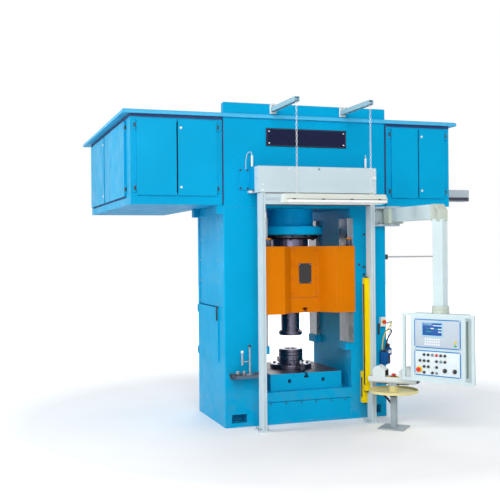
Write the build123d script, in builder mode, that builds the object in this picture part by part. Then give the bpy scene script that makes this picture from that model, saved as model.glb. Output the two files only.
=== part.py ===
from build123d import *
import math
import os

os.makedirs("parts", exist_ok=True)

# Millimetres. The origin is on the floor under the ram's axis, X to the right, Y to the rear, Z up.
# Frame
frame_width = 1700
frame_depth = 960
opening_width = 920
crown_underside = 2090
crown_top = 2946
edge_radius = 10
cut_overrun = 5
seat_clearance = 0.3
running_clearance = 0.05
anchor_hole_radius = 16.5
anchor_inset = 140
pocket_width = 150
pocket_depth = 150
pocket_sole = 40
pocket_height = 82
side_window_front = 200
side_window_rear = 60
side_window_bottom = 610
side_window_top = 2030
side_window_wall = 90
side_cover_split = 1136
side_cover_thickness = 12
side_cover_recess = 8
side_cover_gap = 6
side_door_lap = 8
ledge_bottom = 682
ledge_reach = 60
ledge_depth = 190
cabinet_bracket_width = 64
cabinet_bracket_height = 86
cabinet_bracket_depth = 90

# Bed, bolster and tools
bed_top = 310
bed_cover_top = 219
bed_cover_bottom = 30
bed_cover_thickness = 12
bed_cover_margin = 8
bolster_width = 750
bolster_depth = 854
bolster_height = 165
slot_neck_width = 28
slot_neck_depth = 28
slot_foot_width = 50
slot_foot_depth = 20
lift_hole_radius = 20
lift_hole_depth = 70
lift_hole_spacing = 356
lift_hole_drop = 75
die_base_radius = 212
die_base_height = 45
die_body_radius = 122
die_body_height = 149
die_cavity_radius = 70
die_cavity_depth = 45
upper_die_radius = 94
upper_die_flange_radius = 120
upper_die_flange_height = 40
upper_die_height = 256
die_edge = 6

# Ram, plunger and guides
ram_bottom = 1066
ram_height = 651
ram_width = 938
wing_front = 562
wing_flat = 200
recess_width = 294
recess_depth = 149
ram_band_height = 143
ram_band_groove = 6
ram_bolt_radius = 13
ram_bolt_height = 8
ram_bolt_rows = 4
ram_bolt_pitch = 140
ram_bolt_inset = 12
nameplate_width = 134
nameplate_height = 200
nameplate_thickness = 4
nameplate_height_above_ram = 284
collar_radius = 28
collar_height = 80
collar_inset = 45
rail_thickness = 40
rail_depth = 200
rail_lip_width = 21
rail_proud = 20
rail_bottom = 760
rail_top = 1990
rod_radius = 190
rod_top = 2500
barrel_radius = 240
barrel_bore_clearance = 12
barrel_cap = 60
barrel_top = 2900
flange_radius = 337
flange_bottom = 1832
flange_height = 83
flange_groove = 21
flange_chamfer = 12
gland_radius = 290
gland_height = 42

# Roof, top housing and sign plate
roof_thickness = 38
roof_left = 1810
roof_right = 1665
roof_front_overhang = 26
roof_rear = 2229
roof_fold = 12
housing_height = 106
housing_depth = 60
housing_lip = 8
sign_width = 842
sign_bottom = 2682
sign_height = 174
sign_thickness = 8

# Front gate with its roll-up shutter
gate_front = 783
post_inner = 538
post_width = 42
post_depth = 108
post_slot_width = 10
post_slot_depth = 8
foot_size = 110
foot_depth = 140
foot_thickness = 14
header_half_width = 598
header_depth = 130
header_bottom = 2219
header_top = 2464
header_wall = 4
header_lip = 12
roller_radius = 34
roller_pin_radius = 10
roller_drop = 112
roller_from_back = 57
wound_thickness = 14
curtain_thickness = 3
curtain_margin = 12
bar_bottom = 2108
bar_height = 96
bar_thickness = 34
bar_groove = 8
bar_groove_shares = (0.42, 0.56)
bar_groove_depth = 5
bracket_plate_thickness = 12
bracket_flange_width = 100
bracket_height = 215
bracket_bottom = 2255
sensor_radius = 8
sensor_height = 108
light_bar_size = 48
tall_curtain_bottom = 318
tall_curtain_height = 1078
short_curtain_bottom = 194
short_curtain_height = 292
light_bar_gap = 6

# Hanging lamp
lamp_centre = 15
lamp_arm_spacing = 730
lamp_reach = 643
arm_width = 46
arm_height = 44
arm_wall = 4
arm_drop = 35
arm_plate_width = 60
arm_plate_height = 94
arm_plate_thickness = 10
hook_pin_radius = 5
hook_inset = 20
link_length = 61
link_width = 32
link_wire = 7
link_count = 18
lamp_length = 1000
lamp_height = 80
lamp_top_width = 70
lamp_foot_width = 130
lamp_shoulder = 46
lamp_tray_depth = 10
lamp_tray_wall = 8
staple_radius = 4
staple_span = 26
staple_height = 16

# Roof cabinets
cabinet_bottom = 2114
cabinet_wall = 20
cabinet_gap = 12
left_cabinet_end = 1734
right_cabinet_end = 1586
cabinet_rear = 2032
door_bottom = 2198
door_top = 2903
door_thickness = 20
door_gap = 0.3
door_lap = 22
door_split_gap = 14
front_stile = 57
side_stile = 220
side_rear_stile = 92
side_split = 937
side_split_gap = 60
hinge_radius = 9
hinge_offset = 16
hinge_leaf = 5
barrel_length = 40
knuckle_length = 20
hinge_height_share = 0.41
pump_base_length = 900
pump_base_width = 460
pump_base_height = 60
motor_radius = 150
motor_length = 420
motor_foot_width = 220
motor_foot_height = 60
motor_place_share = 0.28
pump_radius = 95
pump_length = 240
coupling_radius = 70
coupling_length = 90
rack_width = 480
rack_height = 560
rack_thickness = 20
rack_stand = 40
breaker_width = 60
breaker_height = 110
breaker_depth = 90
breaker_columns = 5
breaker_rows = 3
breaker_pitch_x = 80
breaker_pitch_z = 160
duct_size = 120
duct_length = 290
duct_wall = 4
duct_bottom = 2175
duct_front = 400

# Pendant arm and control panel
pivot_outset = 16
pivot_front = 104
pivot_radius = 80
pivot_pin_radius = 30
arm_bottom = 1950
arm_top = 2085
arm_tube_width = 100
arm_yaw = 1.04
arm_length = 882
arm_chamfer = 60
lug_thickness = 20
wall_plate_width = 150
wall_plate_thickness = 20
rib_count = 5
rib_depth = 4
rib_width = 8
drop_size = 98
coupling_height = 34
swivel_radius = 76
swivel_pin_radius = 30
swivel_pin_length = 60
panel_yaw = 57
panel_width = 533
panel_height = 616
panel_thickness = 145
panel_top = 1100.6
panel_edge = 12
handle_reach = 84
handle_width = 28
handle_thickness = 24
handle_corner = 14
face_width = 450
face_thickness = 5
upper_face_height = 260
upper_face_offset = 128
lower_face_height = 228
lower_face_offset = -138
screen_width = 188
screen_height = 112
screen_x = -46.5
screen_y = 169
screen_recess = 3
key_size = 14
key_height = 2
key_columns = 7
key_rows = 3
key_pitch_x = 22
key_pitch_y = 23
key_x = -46.5
key_y = 56
button_radius = 12.5
button_height = 9
button_pitch_x = 40.7
button_first_x = -167
button_rows_y = (-62, -117, -169, -222)
button_row_starts = (1, 0, 1, 1)
button_row_counts = (6, 7, 4, 4)
estop_x = -176.5
estop_y = -199
estop_collar_radius = 28
estop_collar_height = 8
estop_stem_radius = 13
estop_stem_length = 22
estop_cap_radius = 20
estop_cap_height = 16
estop_press = 6
selector_y = -194
selector_left_x = 75.7
selector_right_x = 170.7
selector_radius = 19
selector_height = 12
selector_bar = 10
selector_bar_height = 12

# Two-hand console
console_x = 644
console_front = 1017
console_yaw = 45
console_length = 464
console_depth = 110
console_bottom = 424
console_height = 58
console_chamfer = 16
hood_length = 122
hood_height = 103
hood_wall = 5
hood_inset = 43
hood_bend = 60
hood_mouth = 64
palm_radius = 24
palm_stem_radius = 12
palm_height = 22
palm_stem_length = 20
palm_press = 8
console_post_size = 52
console_base_size = 240
console_base_thickness = 12
console_cap_height = 26
console_cap_size = 86
lead_radius = 9
lead_inset = 105
lead_start_level = 260
lead_end_level = 110
lead_bend = 170
tray_radius = 228
tray_height = 20
tray_wall = 8
tray_floor = 6
tray_level = 340
tray_hub_radius = 46

# Small fittings on the uprights
shelf_width = 280
shelf_depth = 185
shelf_level = 515
shelf_thickness = 26
shelf_lip = 6
shelf_inset = 190
shelf_plate_height = 30
shelf_plate_thickness = 8
gauge_base_radius = 45
gauge_base_height = 22
gauge_rod_radius = 8
gauge_rod_height = 290
gauge_arm_length = 75
gauge_arm_radius = 6
gauge_arm_level_share = 0.48
gauge_head_radius = 9
gauge_head_length = 125
gauge_pin_radius = 14
gauge_pin_height = 55
gauge_inset = 217
stop_box_width = 62
stop_box_height = 94
stop_box_depth = 46
stop_box_inset = 48
stop_box_z = 953
stop_stem_radius = 11
stop_stem_length = 16
stop_cap_radius = 18
stop_cap_height = 12
stop_press = 5
air_plate_length = 130
air_plate_height = 320
air_plate_thickness = 10
air_bottom = 520
air_inset = 20
air_body_size = 62
air_body_height = 72
air_bowl_radius = 26
air_bowl_height = 90
air_knob_radius = 22
air_knob_height = 40
air_spacing = 66
rod_level = 1602
hanger_length = 630
hanger_radius = 7
hanger_inset = 60
clamp_size = 46
clamp_length = 40

# Places that follow from the sizes above
front = -frame_depth / 2
rear = frame_depth / 2
side = frame_width / 2
opening = opening_width / 2
bolster_top = bed_top + bolster_height
ram_top = ram_bottom + ram_height
roof_top = crown_top + roof_thickness
housing_top = roof_top + housing_height
rail_face = -front + rail_proud
guide_half = opening - rail_thickness - seat_clearance
side_window_depth = side - opening - side_window_wall
pivot_x = side + pivot_outset
lead_start_x = side - lead_inset
shelf_centre = side - shelf_inset
gauge_x = side - gauge_inset
stop_box_x = side - stop_box_inset
cabinet_top = crown_top
gate_back = header_depth - gate_front
roller_y = gate_back - roller_from_back
roller_z = header_top - roller_drop
bar_top = bar_bottom + bar_height
bar_y = roller_y - roller_radius - wound_thickness - seat_clearance - curtain_thickness / 2
door_height = door_top - door_bottom
door_middle = (door_top + door_bottom) / 2


def block(x0, x1, y0, y1, z0, z1, mode=Mode.ADD):
    """Add or cut a rectangular block between two corners."""
    with Locations(((x0 + x1) / 2, (y0 + y1) / 2, (z0 + z1) / 2)):
        Box(x1 - x0, y1 - y0, z1 - z0, mode=mode)


def heading(yaw):
    """Directions along and out of a face that is turned by yaw from the press's front."""
    turn = math.radians(yaw)
    along = (math.cos(turn), -math.sin(turn), 0)
    outward = (-math.sin(turn), -math.cos(turn), 0)
    return along, outward


def facing(x, y, z, yaw):
    """Plane of a front that is turned by yaw: x along it, y up, z out of it."""
    along, outward = heading(yaw)
    return Plane(origin=(x, y, z), x_dir=along, z_dir=outward)


def front_hinge(x, towards):
    """Hinge line on a cabinet's front at x; towards is the side on which the door lies."""
    return Plane((x, front, door_middle), x_dir=(towards, 0, 0), z_dir=(0, -1, 0))


def side_hinge(y, towards):
    """Hinge line on the left cabinet's outer side at y; towards is the side on which the door lies."""
    return Plane((-left_cabinet_end, y, door_middle), x_dir=(0, towards, 0), z_dir=(-1, 0, 0))


def make_door(place, width, height, thickness):
    """Door on two barrel hinges; place is on the carrier's face at the hinge line, x towards the door."""
    with BuildPart(place) as door:
        with Locations((hinge_offset + width / 2, 0, door_gap + thickness / 2)):
            Box(width, height, thickness)
        for end in (-1, 1):
            with Locations((0, end * height * hinge_height_share, door_gap + hinge_radius)):
                Cylinder(hinge_radius, barrel_length, rotation=(90, 0, 0))
            with Locations((hinge_offset / 2, end * height * hinge_height_share, door_gap + hinge_radius)):
                Box(hinge_offset, barrel_length, hinge_leaf)
    return door


def add_knuckles(place, height):
    """Fixed halves of a door's hinges, above and below each barrel, with a leaf on the carrier."""
    reach = barrel_length / 2 + seat_clearance + knuckle_length / 2
    for end in (-1, 1):
        for step in (-1, 1):
            level = end * height * hinge_height_share + step * reach
            with Locations(place):
                with Locations((0, level, door_gap + hinge_radius)):
                    Cylinder(hinge_radius, knuckle_length, rotation=(90, 0, 0))
                with Locations((-hinge_offset / 2, level, (door_gap + hinge_radius) / 2)):
                    Box(hinge_offset, knuckle_length, door_gap + hinge_radius)


def cut_slot(level, inward, reach):
    """T-slot along Y in a face at a level; inward is the way into the metal, reach the half length."""
    mouth = level - inward * cut_overrun
    neck = level + inward * slot_neck_depth
    foot = neck + inward * slot_foot_depth
    right_half = [(slot_neck_width / 2, mouth), (slot_neck_width / 2, neck),
                  (slot_foot_width / 2, neck), (slot_foot_width / 2, foot)]
    left_half = [(-x, z) for x, z in reversed(right_half)]
    with BuildSketch(Plane.XZ.offset(-reach - cut_overrun)) as outline:
        with BuildLine():
            Polyline(*right_half, *left_half, close=True)
        make_face()
    extrude(outline.sketch, amount=2 * (reach + cut_overrun), mode=Mode.SUBTRACT)


pieces = {}

# Side door's place on the left column: hinge line at the rear, door towards the front
side_door_rear = rear - side_window_rear + side_door_lap
side_door_width = side_door_rear - front - side_window_front + side_door_lap
side_door_bottom = side_window_bottom - side_door_lap
side_door_height = side_cover_split - side_cover_gap - side_door_bottom
side_door_place = Plane((-side, side_door_rear + hinge_offset, side_door_bottom + side_door_height / 2),
                        x_dir=(0, -1, 0), z_dir=(-1, 0, 0))

# Uprights: box columns with anchor pockets at the foot, a ledge under each rail and cabinet brackets.
# The left one has a window in its outer side, closed by a cover and a door.
for hand, name in ((-1, "left_upright"), (1, "right_upright")):
    inner_x = hand * opening
    outer_x = hand * side
    with BuildPart() as upright:
        block(min(inner_x, outer_x), max(inner_x, outer_x), front, rear, 0, crown_underside)
        fillet(upright.edges().filter_by(Axis.Z).group_by(Axis.X)[0 if hand < 0 else -1], edge_radius)
        anchor_x = outer_x - hand * anchor_inset
        for end in (front, rear):
            inward = -1 if end > 0 else 1
            pocket_end = end + inward * pocket_depth
            pocket_start = end - inward * cut_overrun
            block(anchor_x - pocket_width / 2, anchor_x + pocket_width / 2,
                  min(pocket_start, pocket_end), max(pocket_start, pocket_end),
                  pocket_sole, pocket_sole + pocket_height, mode=Mode.SUBTRACT)
            with Locations((anchor_x, end + inward * pocket_depth / 2, pocket_sole / 2)):
                Cylinder(anchor_hole_radius, pocket_sole + cut_overrun, mode=Mode.SUBTRACT)
        ledge_x = inner_x - hand * ledge_reach
        for start in (front, rear - ledge_depth):
            block(min(inner_x, ledge_x), max(inner_x, ledge_x), start, start + ledge_depth,
                  ledge_bottom, rail_bottom)
        bracket_x = outer_x + hand * cabinet_bracket_width
        for start in (front + edge_radius, rear - edge_radius - cabinet_bracket_depth):
            block(min(outer_x, bracket_x), max(outer_x, bracket_x), start, start + cabinet_bracket_depth,
                  cabinet_bottom - cabinet_bracket_height, cabinet_bottom)
        if hand < 0:
            block(-side - cut_overrun, side_window_depth - side, front + side_window_front,
                  rear - side_window_rear, side_window_bottom, side_window_top, mode=Mode.SUBTRACT)
            add_knuckles(side_door_place, side_door_height)
    pieces[name] = upright

# Cover over the upper part of the side window, set back a little from the column's face
cover_face = side_cover_recess - side
with BuildPart() as left_side_cover:
    block(cover_face, cover_face + side_cover_thickness, front + side_window_front, rear - side_window_rear,
          side_cover_split, side_window_top)
pieces["left_side_cover"] = left_side_cover

# Door over the lower part of the side window, on two barrel hinges at its rear edge
left_side_door = make_door(side_door_place, side_door_width, side_door_height, side_cover_thickness)
pieces["left_side_door"] = left_side_door

# Crown: the deep head of the frame, bored for the cylinder
with BuildPart() as crown:
    block(-side, side, front, rear, crown_underside, crown_top)
    fillet(crown.edges().filter_by(Axis.Z), edge_radius)
    with Locations((0, 0, (crown_underside + crown_top) / 2)):
        Cylinder(barrel_radius, crown_top - crown_underside + cut_overrun, mode=Mode.SUBTRACT)
pieces["crown"] = crown

# Bed: the block between the columns, stepped back at its foot for the front cover
with BuildPart() as bed:
    block(-opening, opening, front, rear, 0, bed_top)
    block(-opening + bed_cover_margin, opening - bed_cover_margin, front - cut_overrun,
          front + bed_cover_thickness, bed_cover_bottom, bed_cover_top, mode=Mode.SUBTRACT)
pieces["bed"] = bed

with BuildPart() as bed_cover:
    block(-opening + bed_cover_margin + seat_clearance, opening - bed_cover_margin - seat_clearance,
          front, front + bed_cover_thickness,
          bed_cover_bottom + seat_clearance, bed_cover_top - bed_cover_margin)
pieces["bed_cover"] = bed_cover

# Bolster: thick plate with one T-slot from front to back and two lifting holes in its front
with BuildPart() as bolster:
    block(-bolster_width / 2, bolster_width / 2, -bolster_depth / 2, bolster_depth / 2, bed_top, bolster_top)
    cut_slot(bolster_top, -1, bolster_depth / 2)
    for hand in (-1, 1):
        with Locations(Plane.XZ.offset(bolster_depth / 2)):
            with Locations((hand * lift_hole_spacing / 2, bolster_top - lift_hole_drop, 0)):
                Cylinder(lift_hole_radius, 2 * lift_hole_depth, mode=Mode.SUBTRACT)
pieces["bolster"] = bolster

# Lower die: stepped round block with a cavity in its top
with BuildPart() as lower_die:
    with BuildSketch(Plane.XZ) as die_profile:
        with BuildLine():
            base_top = bolster_top + die_base_height
            die_top = base_top + die_body_height
            Polyline((0, bolster_top), (die_base_radius, bolster_top),
                     (die_base_radius, base_top - die_edge),
                     (die_base_radius - die_edge, base_top), (die_body_radius, base_top),
                     (die_body_radius, die_top - die_edge), (die_body_radius - die_edge, die_top),
                     (die_cavity_radius, die_top),
                     (die_cavity_radius - die_edge, die_top - die_cavity_depth),
                     (0, die_top - die_cavity_depth), close=True)
        make_face()
    revolve(axis=Axis.Z)
pieces["lower_die"] = lower_die

# Upper die: punch holder under the ram with a flange at its lower end
with BuildPart() as upper_die:
    with BuildSketch(Plane.XZ) as punch_profile:
        with BuildLine():
            punch_bottom = ram_bottom - upper_die_height
            flange_top = punch_bottom + upper_die_flange_height
            Polyline((0, ram_bottom), (upper_die_radius, ram_bottom), (upper_die_radius, flange_top),
                     (upper_die_flange_radius, flange_top),
                     (upper_die_flange_radius, punch_bottom + die_edge),
                     (upper_die_flange_radius - die_edge, punch_bottom), (0, punch_bottom), close=True)
        make_face()
    revolve(axis=Axis.Z)
pieces["upper_die"] = upper_die

# Ram: heavy block whose front is hollowed between two bevels; its wings run before and behind the rails.
# Bolts in two columns, a bare plate and two collars on top belong to the casting; its underside has a T-slot.
ram_half = ram_width / 2
flat_edge = ram_half - wing_flat
recess_half = recess_width / 2
recess_y = recess_depth - wing_front
with BuildPart() as ram:
    with BuildSketch(Plane.XY.offset(ram_bottom)) as ram_profile:
        with BuildLine():
            right_side = [(recess_half, recess_y), (flat_edge, -wing_front), (ram_half, -wing_front),
                          (ram_half, -rail_face - seat_clearance), (guide_half, -rail_face - seat_clearance),
                          (guide_half, rail_face + seat_clearance), (ram_half, rail_face + seat_clearance),
                          (ram_half, wing_front)]
            left_side = [(-x, y) for x, y in reversed(right_side)]
            Polyline(*right_side, *left_side, close=True)
        make_face()
    extrude(amount=ram_height)
    cut_slot(ram_bottom, 1, wing_front)
    band_z = ram_bottom + ram_band_height
    block(-recess_half, recess_half, recess_y - cut_overrun, recess_y + ram_band_groove,
          band_z, band_z + ram_band_groove, mode=Mode.SUBTRACT)
    with Locations(Plane.XZ.offset(-recess_y)):
        with Locations((0, ram_bottom + nameplate_height_above_ram + nameplate_height / 2, 0)):
            Box(nameplate_width, nameplate_height, 2 * nameplate_thickness)
        bolt_z = band_z + ram_bolt_pitch * (ram_bolt_rows - 1) / 2 + ram_bolt_pitch / 3
        with Locations((0, bolt_z, ram_bolt_height / 2)):
            with GridLocations(recess_width - 2 * ram_bolt_inset - 2 * ram_bolt_radius, ram_bolt_pitch,
                               2, ram_bolt_rows):
                Cylinder(ram_bolt_radius, ram_bolt_height)
    for hand in (-1, 1):
        with Locations((hand * (ram_half - collar_inset), -(rail_face + wing_front) / 2,
                        ram_top + collar_height / 2)):
            Cylinder(collar_radius, collar_height)
pieces["ram"] = ram

# Plunger: chromed rod from the ram up into the cylinder
with BuildPart() as piston_rod:
    with Locations((0, 0, (ram_top + rod_top) / 2)):
        Cylinder(rod_radius, rod_top - ram_top)
    chamfer(piston_rod.edges().group_by(Axis.Z)[-1], flange_chamfer)
pieces["piston_rod"] = piston_rod

# Cylinder: turned barrel in the crown, with its flange and neck showing below
barrel_bore = rod_radius + barrel_bore_clearance
flange_top_z = flange_bottom + flange_height
with BuildPart() as main_cylinder:
    with BuildSketch(Plane.XZ) as barrel_profile:
        with BuildLine():
            Polyline((barrel_bore, flange_bottom), (flange_radius - flange_chamfer, flange_bottom),
                     (flange_radius, flange_bottom + flange_chamfer), (flange_radius, flange_top_z),
                     (barrel_radius + flange_groove, flange_top_z),
                     (barrel_radius, flange_top_z + flange_groove),
                     (barrel_radius, barrel_top), (0, barrel_top), (0, barrel_top - barrel_cap),
                     (barrel_bore, barrel_top - barrel_cap), close=True)
        make_face()
    revolve(axis=Axis.Z)
pieces["main_cylinder"] = main_cylinder

# Gland: ring under the flange that guides and seals the plunger
with BuildPart() as cylinder_gland:
    with BuildSketch(Plane.XY.offset(flange_bottom - gland_height)) as gland_ring:
        Circle(gland_radius)
        Circle(rod_radius + running_clearance, mode=Mode.SUBTRACT)
    extrude(amount=gland_height)
    chamfer(cylinder_gland.edges().group_by(Axis.Z)[0].sort_by(SortBy.LENGTH)[-1], flange_chamfer)
pieces["cylinder_gland"] = cylinder_gland

# Guide rails: four steel gibs on the inner corners of the columns, each with a lip on the column's face
with BuildPart() as guide_rails:
    with BuildSketch(Plane.XY.offset(rail_bottom)) as rail_profile:
        with BuildLine():
            Polyline((opening - rail_thickness, -rail_face), (opening + rail_lip_width, -rail_face),
                     (opening + rail_lip_width, front), (opening, front),
                     (opening, -rail_face + rail_depth), (opening - rail_thickness, -rail_face + rail_depth),
                     close=True)
        make_face()
        mirror(about=Plane.YZ)
        mirror(about=Plane.XZ)
    extrude(amount=rail_top - rail_bottom)
pieces["guide_rails"] = guide_rails

# Roof deck: slab with folded edges over the crown and both cabinets
with BuildPart() as roof_deck:
    block(-roof_left, roof_right, front - roof_front_overhang, roof_rear, crown_top, roof_top)
    chamfer(roof_deck.edges().group_by(Axis.Z)[-1], roof_fold)
pieces["roof_deck"] = roof_deck

# Top housing: shallow box on the roof's front edge over the frame, with a stepped edge
with BuildPart() as top_housing:
    block(-side, side, front, front + housing_depth, roof_top, housing_top)
    chamfer(top_housing.edges().group_by(Axis.Z)[-1], housing_lip)
pieces["top_housing"] = top_housing

# Sign plate: bare plate across the crown
with BuildPart() as sign_plate:
    block(-sign_width / 2, sign_width / 2, front - sign_thickness, front,
          sign_bottom, sign_bottom + sign_height)
pieces["sign_plate"] = sign_plate

# Gate posts: two deep profiles on foot plates, grooved down the front
with BuildPart() as gate_posts:
    for hand in (-1, 1):
        near = hand * post_inner
        far = hand * (post_inner + post_width)
        block(min(near, far), max(near, far), -gate_front, post_depth - gate_front,
              foot_thickness, header_bottom)
        middle = (near + far) / 2
        block(middle - post_slot_width / 2, middle + post_slot_width / 2, -gate_front - cut_overrun,
              post_slot_depth - gate_front, foot_thickness, header_bottom, mode=Mode.SUBTRACT)
        block(middle - foot_size / 2, middle + foot_size / 2, -gate_front,
              foot_depth - gate_front, 0, foot_thickness)
pieces["gate_posts"] = gate_posts

# Gate header: folded box over the posts, open below for the curtain, with end plates that carry the roller
with BuildPart() as gate_header:
    block(-header_half_width, header_half_width, -gate_front, gate_back, header_bottom, header_top)
    fillet(gate_header.edges().filter_by(Axis.X).group_by(Axis.Z)[-1].sort_by(Axis.Y)[0], header_lip)
    block(header_wall - header_half_width, header_half_width - header_wall, header_wall - gate_front,
          gate_back - header_wall, header_bottom - cut_overrun, header_top - header_wall, mode=Mode.SUBTRACT)
    with Locations((0, roller_y, roller_z)):
        Cylinder(roller_pin_radius + running_clearance, 2 * header_half_width + cut_overrun,
                 rotation=(0, 90, 0), mode=Mode.SUBTRACT)
pieces["gate_header"] = gate_header

# Roller with the wound part of the curtain
with BuildPart() as shutter_roller:
    with Locations((0, roller_y, roller_z)):
        roll_length = 2 * (header_half_width - header_wall - curtain_margin)
        Cylinder(roller_radius + wound_thickness, roll_length, rotation=(0, 90, 0))
        Cylinder(roller_pin_radius, 2 * header_half_width, rotation=(0, 90, 0))
pieces["shutter_roller"] = shutter_roller

# Curtain: the short stretch between roller and bar that lengthens as the bar goes down
with BuildPart() as shutter_curtain:
    block(curtain_margin - post_inner, post_inner - curtain_margin,
          bar_y - curtain_thickness / 2, bar_y + curtain_thickness / 2, bar_top, roller_z)
pieces["shutter_curtain"] = shutter_curtain

# Bottom bar of the shutter: extruded beam with two grooves, running between the posts
with BuildPart() as shutter_bar:
    with BuildSketch(Plane.YZ.offset(seat_clearance - post_inner)) as bar_profile:
        with Locations((bar_y, bar_bottom + bar_height / 2)):
            Rectangle(bar_thickness, bar_height)
        for level_share in bar_groove_shares:
            with Locations((bar_y - bar_thickness / 2, bar_bottom + bar_height * level_share)):
                Rectangle(2 * bar_groove_depth, bar_groove, mode=Mode.SUBTRACT)
    extrude(amount=2 * (post_inner - seat_clearance))
pieces["shutter_bar"] = shutter_bar

# Gate brackets: bolted plates on the crown with a web out to the header and a switch pin on top
with BuildPart() as gate_brackets:
    for hand in (-1, 1):
        edge = hand * header_half_width
        inner_edge = edge - hand * bracket_plate_thickness
        outer_edge = edge + hand * bracket_flange_width
        block(min(inner_edge, edge), max(inner_edge, edge), gate_back, front,
              bracket_bottom, bracket_bottom + bracket_height)
        block(min(inner_edge, outer_edge), max(inner_edge, outer_edge),
              front - bracket_plate_thickness, front, bracket_bottom, bracket_bottom + bracket_height)
        pin_y = (gate_back + front) / 2
        with Locations((edge - hand * bracket_plate_thickness / 2, pin_y,
                        bracket_bottom + bracket_height + sensor_height / 2)):
            Cylinder(sensor_radius, sensor_height)
pieces["gate_brackets"] = gate_brackets

# Light curtains: a tall housing on the inner face of the right post and a short one behind the post
with BuildPart() as light_curtains:
    tall_front = bar_y + bar_thickness / 2 + light_bar_gap
    block(post_inner - light_bar_size, post_inner, tall_front, tall_front + light_bar_size,
          tall_curtain_bottom, tall_curtain_bottom + tall_curtain_height)
    short_front = post_depth - gate_front
    block(post_inner - light_bar_size, post_inner + post_width / 2,
          short_front, short_front + light_bar_size,
          short_curtain_bottom, short_curtain_bottom + short_curtain_height)
pieces["light_curtains"] = light_curtains

# Lamp arms: channels from the top housing, each with a base plate and a pin for the chain
arm_roof = housing_top - arm_drop
arm_tip = front - lamp_reach
hook_y = arm_tip + hook_inset
hook_z = arm_roof - arm_height / 2
with BuildPart() as lamp_arms:
    for hand in (-1, 1):
        arm_x = lamp_centre + hand * lamp_arm_spacing / 2
        block(arm_x - arm_plate_width / 2, arm_x + arm_plate_width / 2, front - arm_plate_thickness, front,
              housing_top - arm_plate_height, housing_top)
        block(arm_x - arm_width / 2, arm_x + arm_width / 2, arm_tip, front - arm_plate_thickness,
              arm_roof - arm_height, arm_roof)
        block(arm_x - arm_width / 2 + arm_wall, arm_x + arm_width / 2 - arm_wall, arm_tip - cut_overrun,
              front - arm_plate_thickness, arm_roof - arm_height - cut_overrun, arm_roof - arm_wall,
              mode=Mode.SUBTRACT)
        with Locations((arm_x, hook_y, hook_z)):
            Cylinder(hook_pin_radius, arm_width, rotation=(0, 90, 0))
pieces["lamp_arms"] = lamp_arms

# Chains: two runs of open links, each turned a quarter from the last
link_pitch = link_length - 2 * link_wire - seat_clearance
first_link = hook_z + hook_pin_radius + seat_clearance - link_length / 2 + link_wire
with BuildPart() as lamp_chains:
    for hand in (-1, 1):
        chain_x = lamp_centre + hand * lamp_arm_spacing / 2
        for link in range(link_count):
            normal = (1, 0, 0) if link % 2 == 0 else (0, 1, 0)
            place = Plane((chain_x, hook_y, first_link - link * link_pitch), x_dir=(0, 0, 1), z_dir=normal)
            with BuildSketch(place):
                Rectangle(link_length, link_width)
                Rectangle(link_length - 2 * link_wire, link_width - 2 * link_wire, mode=Mode.SUBTRACT)
            extrude(amount=link_wire / 2, both=True)
pieces["lamp_chains"] = lamp_chains

# Lamp: long folded housing with a shallow light tray below and two staples in the last links
last_link = first_link - (link_count - 1) * link_pitch
staple_z = last_link - link_length / 2 + link_wire + staple_radius + seat_clearance
lamp_top = staple_z - staple_height
lamp_bottom = lamp_top - lamp_height
with BuildPart() as lamp_housing:
    with BuildSketch(Plane.YZ.offset(lamp_centre - lamp_length / 2)) as lamp_profile:
        with BuildLine():
            Polyline((hook_y - lamp_foot_width / 2, lamp_bottom),
                     (hook_y - lamp_foot_width / 2, lamp_top - lamp_shoulder),
                     (hook_y - lamp_top_width / 2, lamp_top), (hook_y + lamp_top_width / 2, lamp_top),
                     (hook_y + lamp_foot_width / 2, lamp_top - lamp_shoulder),
                     (hook_y + lamp_foot_width / 2, lamp_bottom), close=True)
        make_face()
    extrude(amount=lamp_length)
    block(lamp_centre - lamp_length / 2 + lamp_tray_wall, lamp_centre + lamp_length / 2 - lamp_tray_wall,
          hook_y - lamp_foot_width / 2 + lamp_tray_wall, hook_y + lamp_foot_width / 2 - lamp_tray_wall,
          lamp_bottom - cut_overrun, lamp_bottom + lamp_tray_depth, mode=Mode.SUBTRACT)
    for hand in (-1, 1):
        chain_x = lamp_centre + hand * lamp_arm_spacing / 2
        for end in (-1, 1):
            with Locations((chain_x, hook_y + end * staple_span / 2, lamp_top + staple_height / 2)):
                Box(2 * staple_radius, 2 * staple_radius, staple_height + 2 * staple_radius)
        with Locations((chain_x, hook_y, staple_z)):
            Box(2 * staple_radius, staple_span, 2 * staple_radius)
pieces["lamp_housing"] = lamp_housing


def add_shell(x0, x1, door_left, door_right):
    """Hollow cabinet between two sides with a door opening in its front."""
    block(x0, x1, front, cabinet_rear, cabinet_bottom, cabinet_top)
    block(x0 + cabinet_wall, x1 - cabinet_wall, front + cabinet_wall, cabinet_rear - cabinet_wall,
          cabinet_bottom + cabinet_wall, cabinet_top - cabinet_wall, mode=Mode.SUBTRACT)
    block(door_left + door_lap, door_right - door_lap,
          front - cut_overrun, front + cabinet_wall + cut_overrun,
          door_bottom + door_lap, door_top - door_lap, mode=Mode.SUBTRACT)


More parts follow.
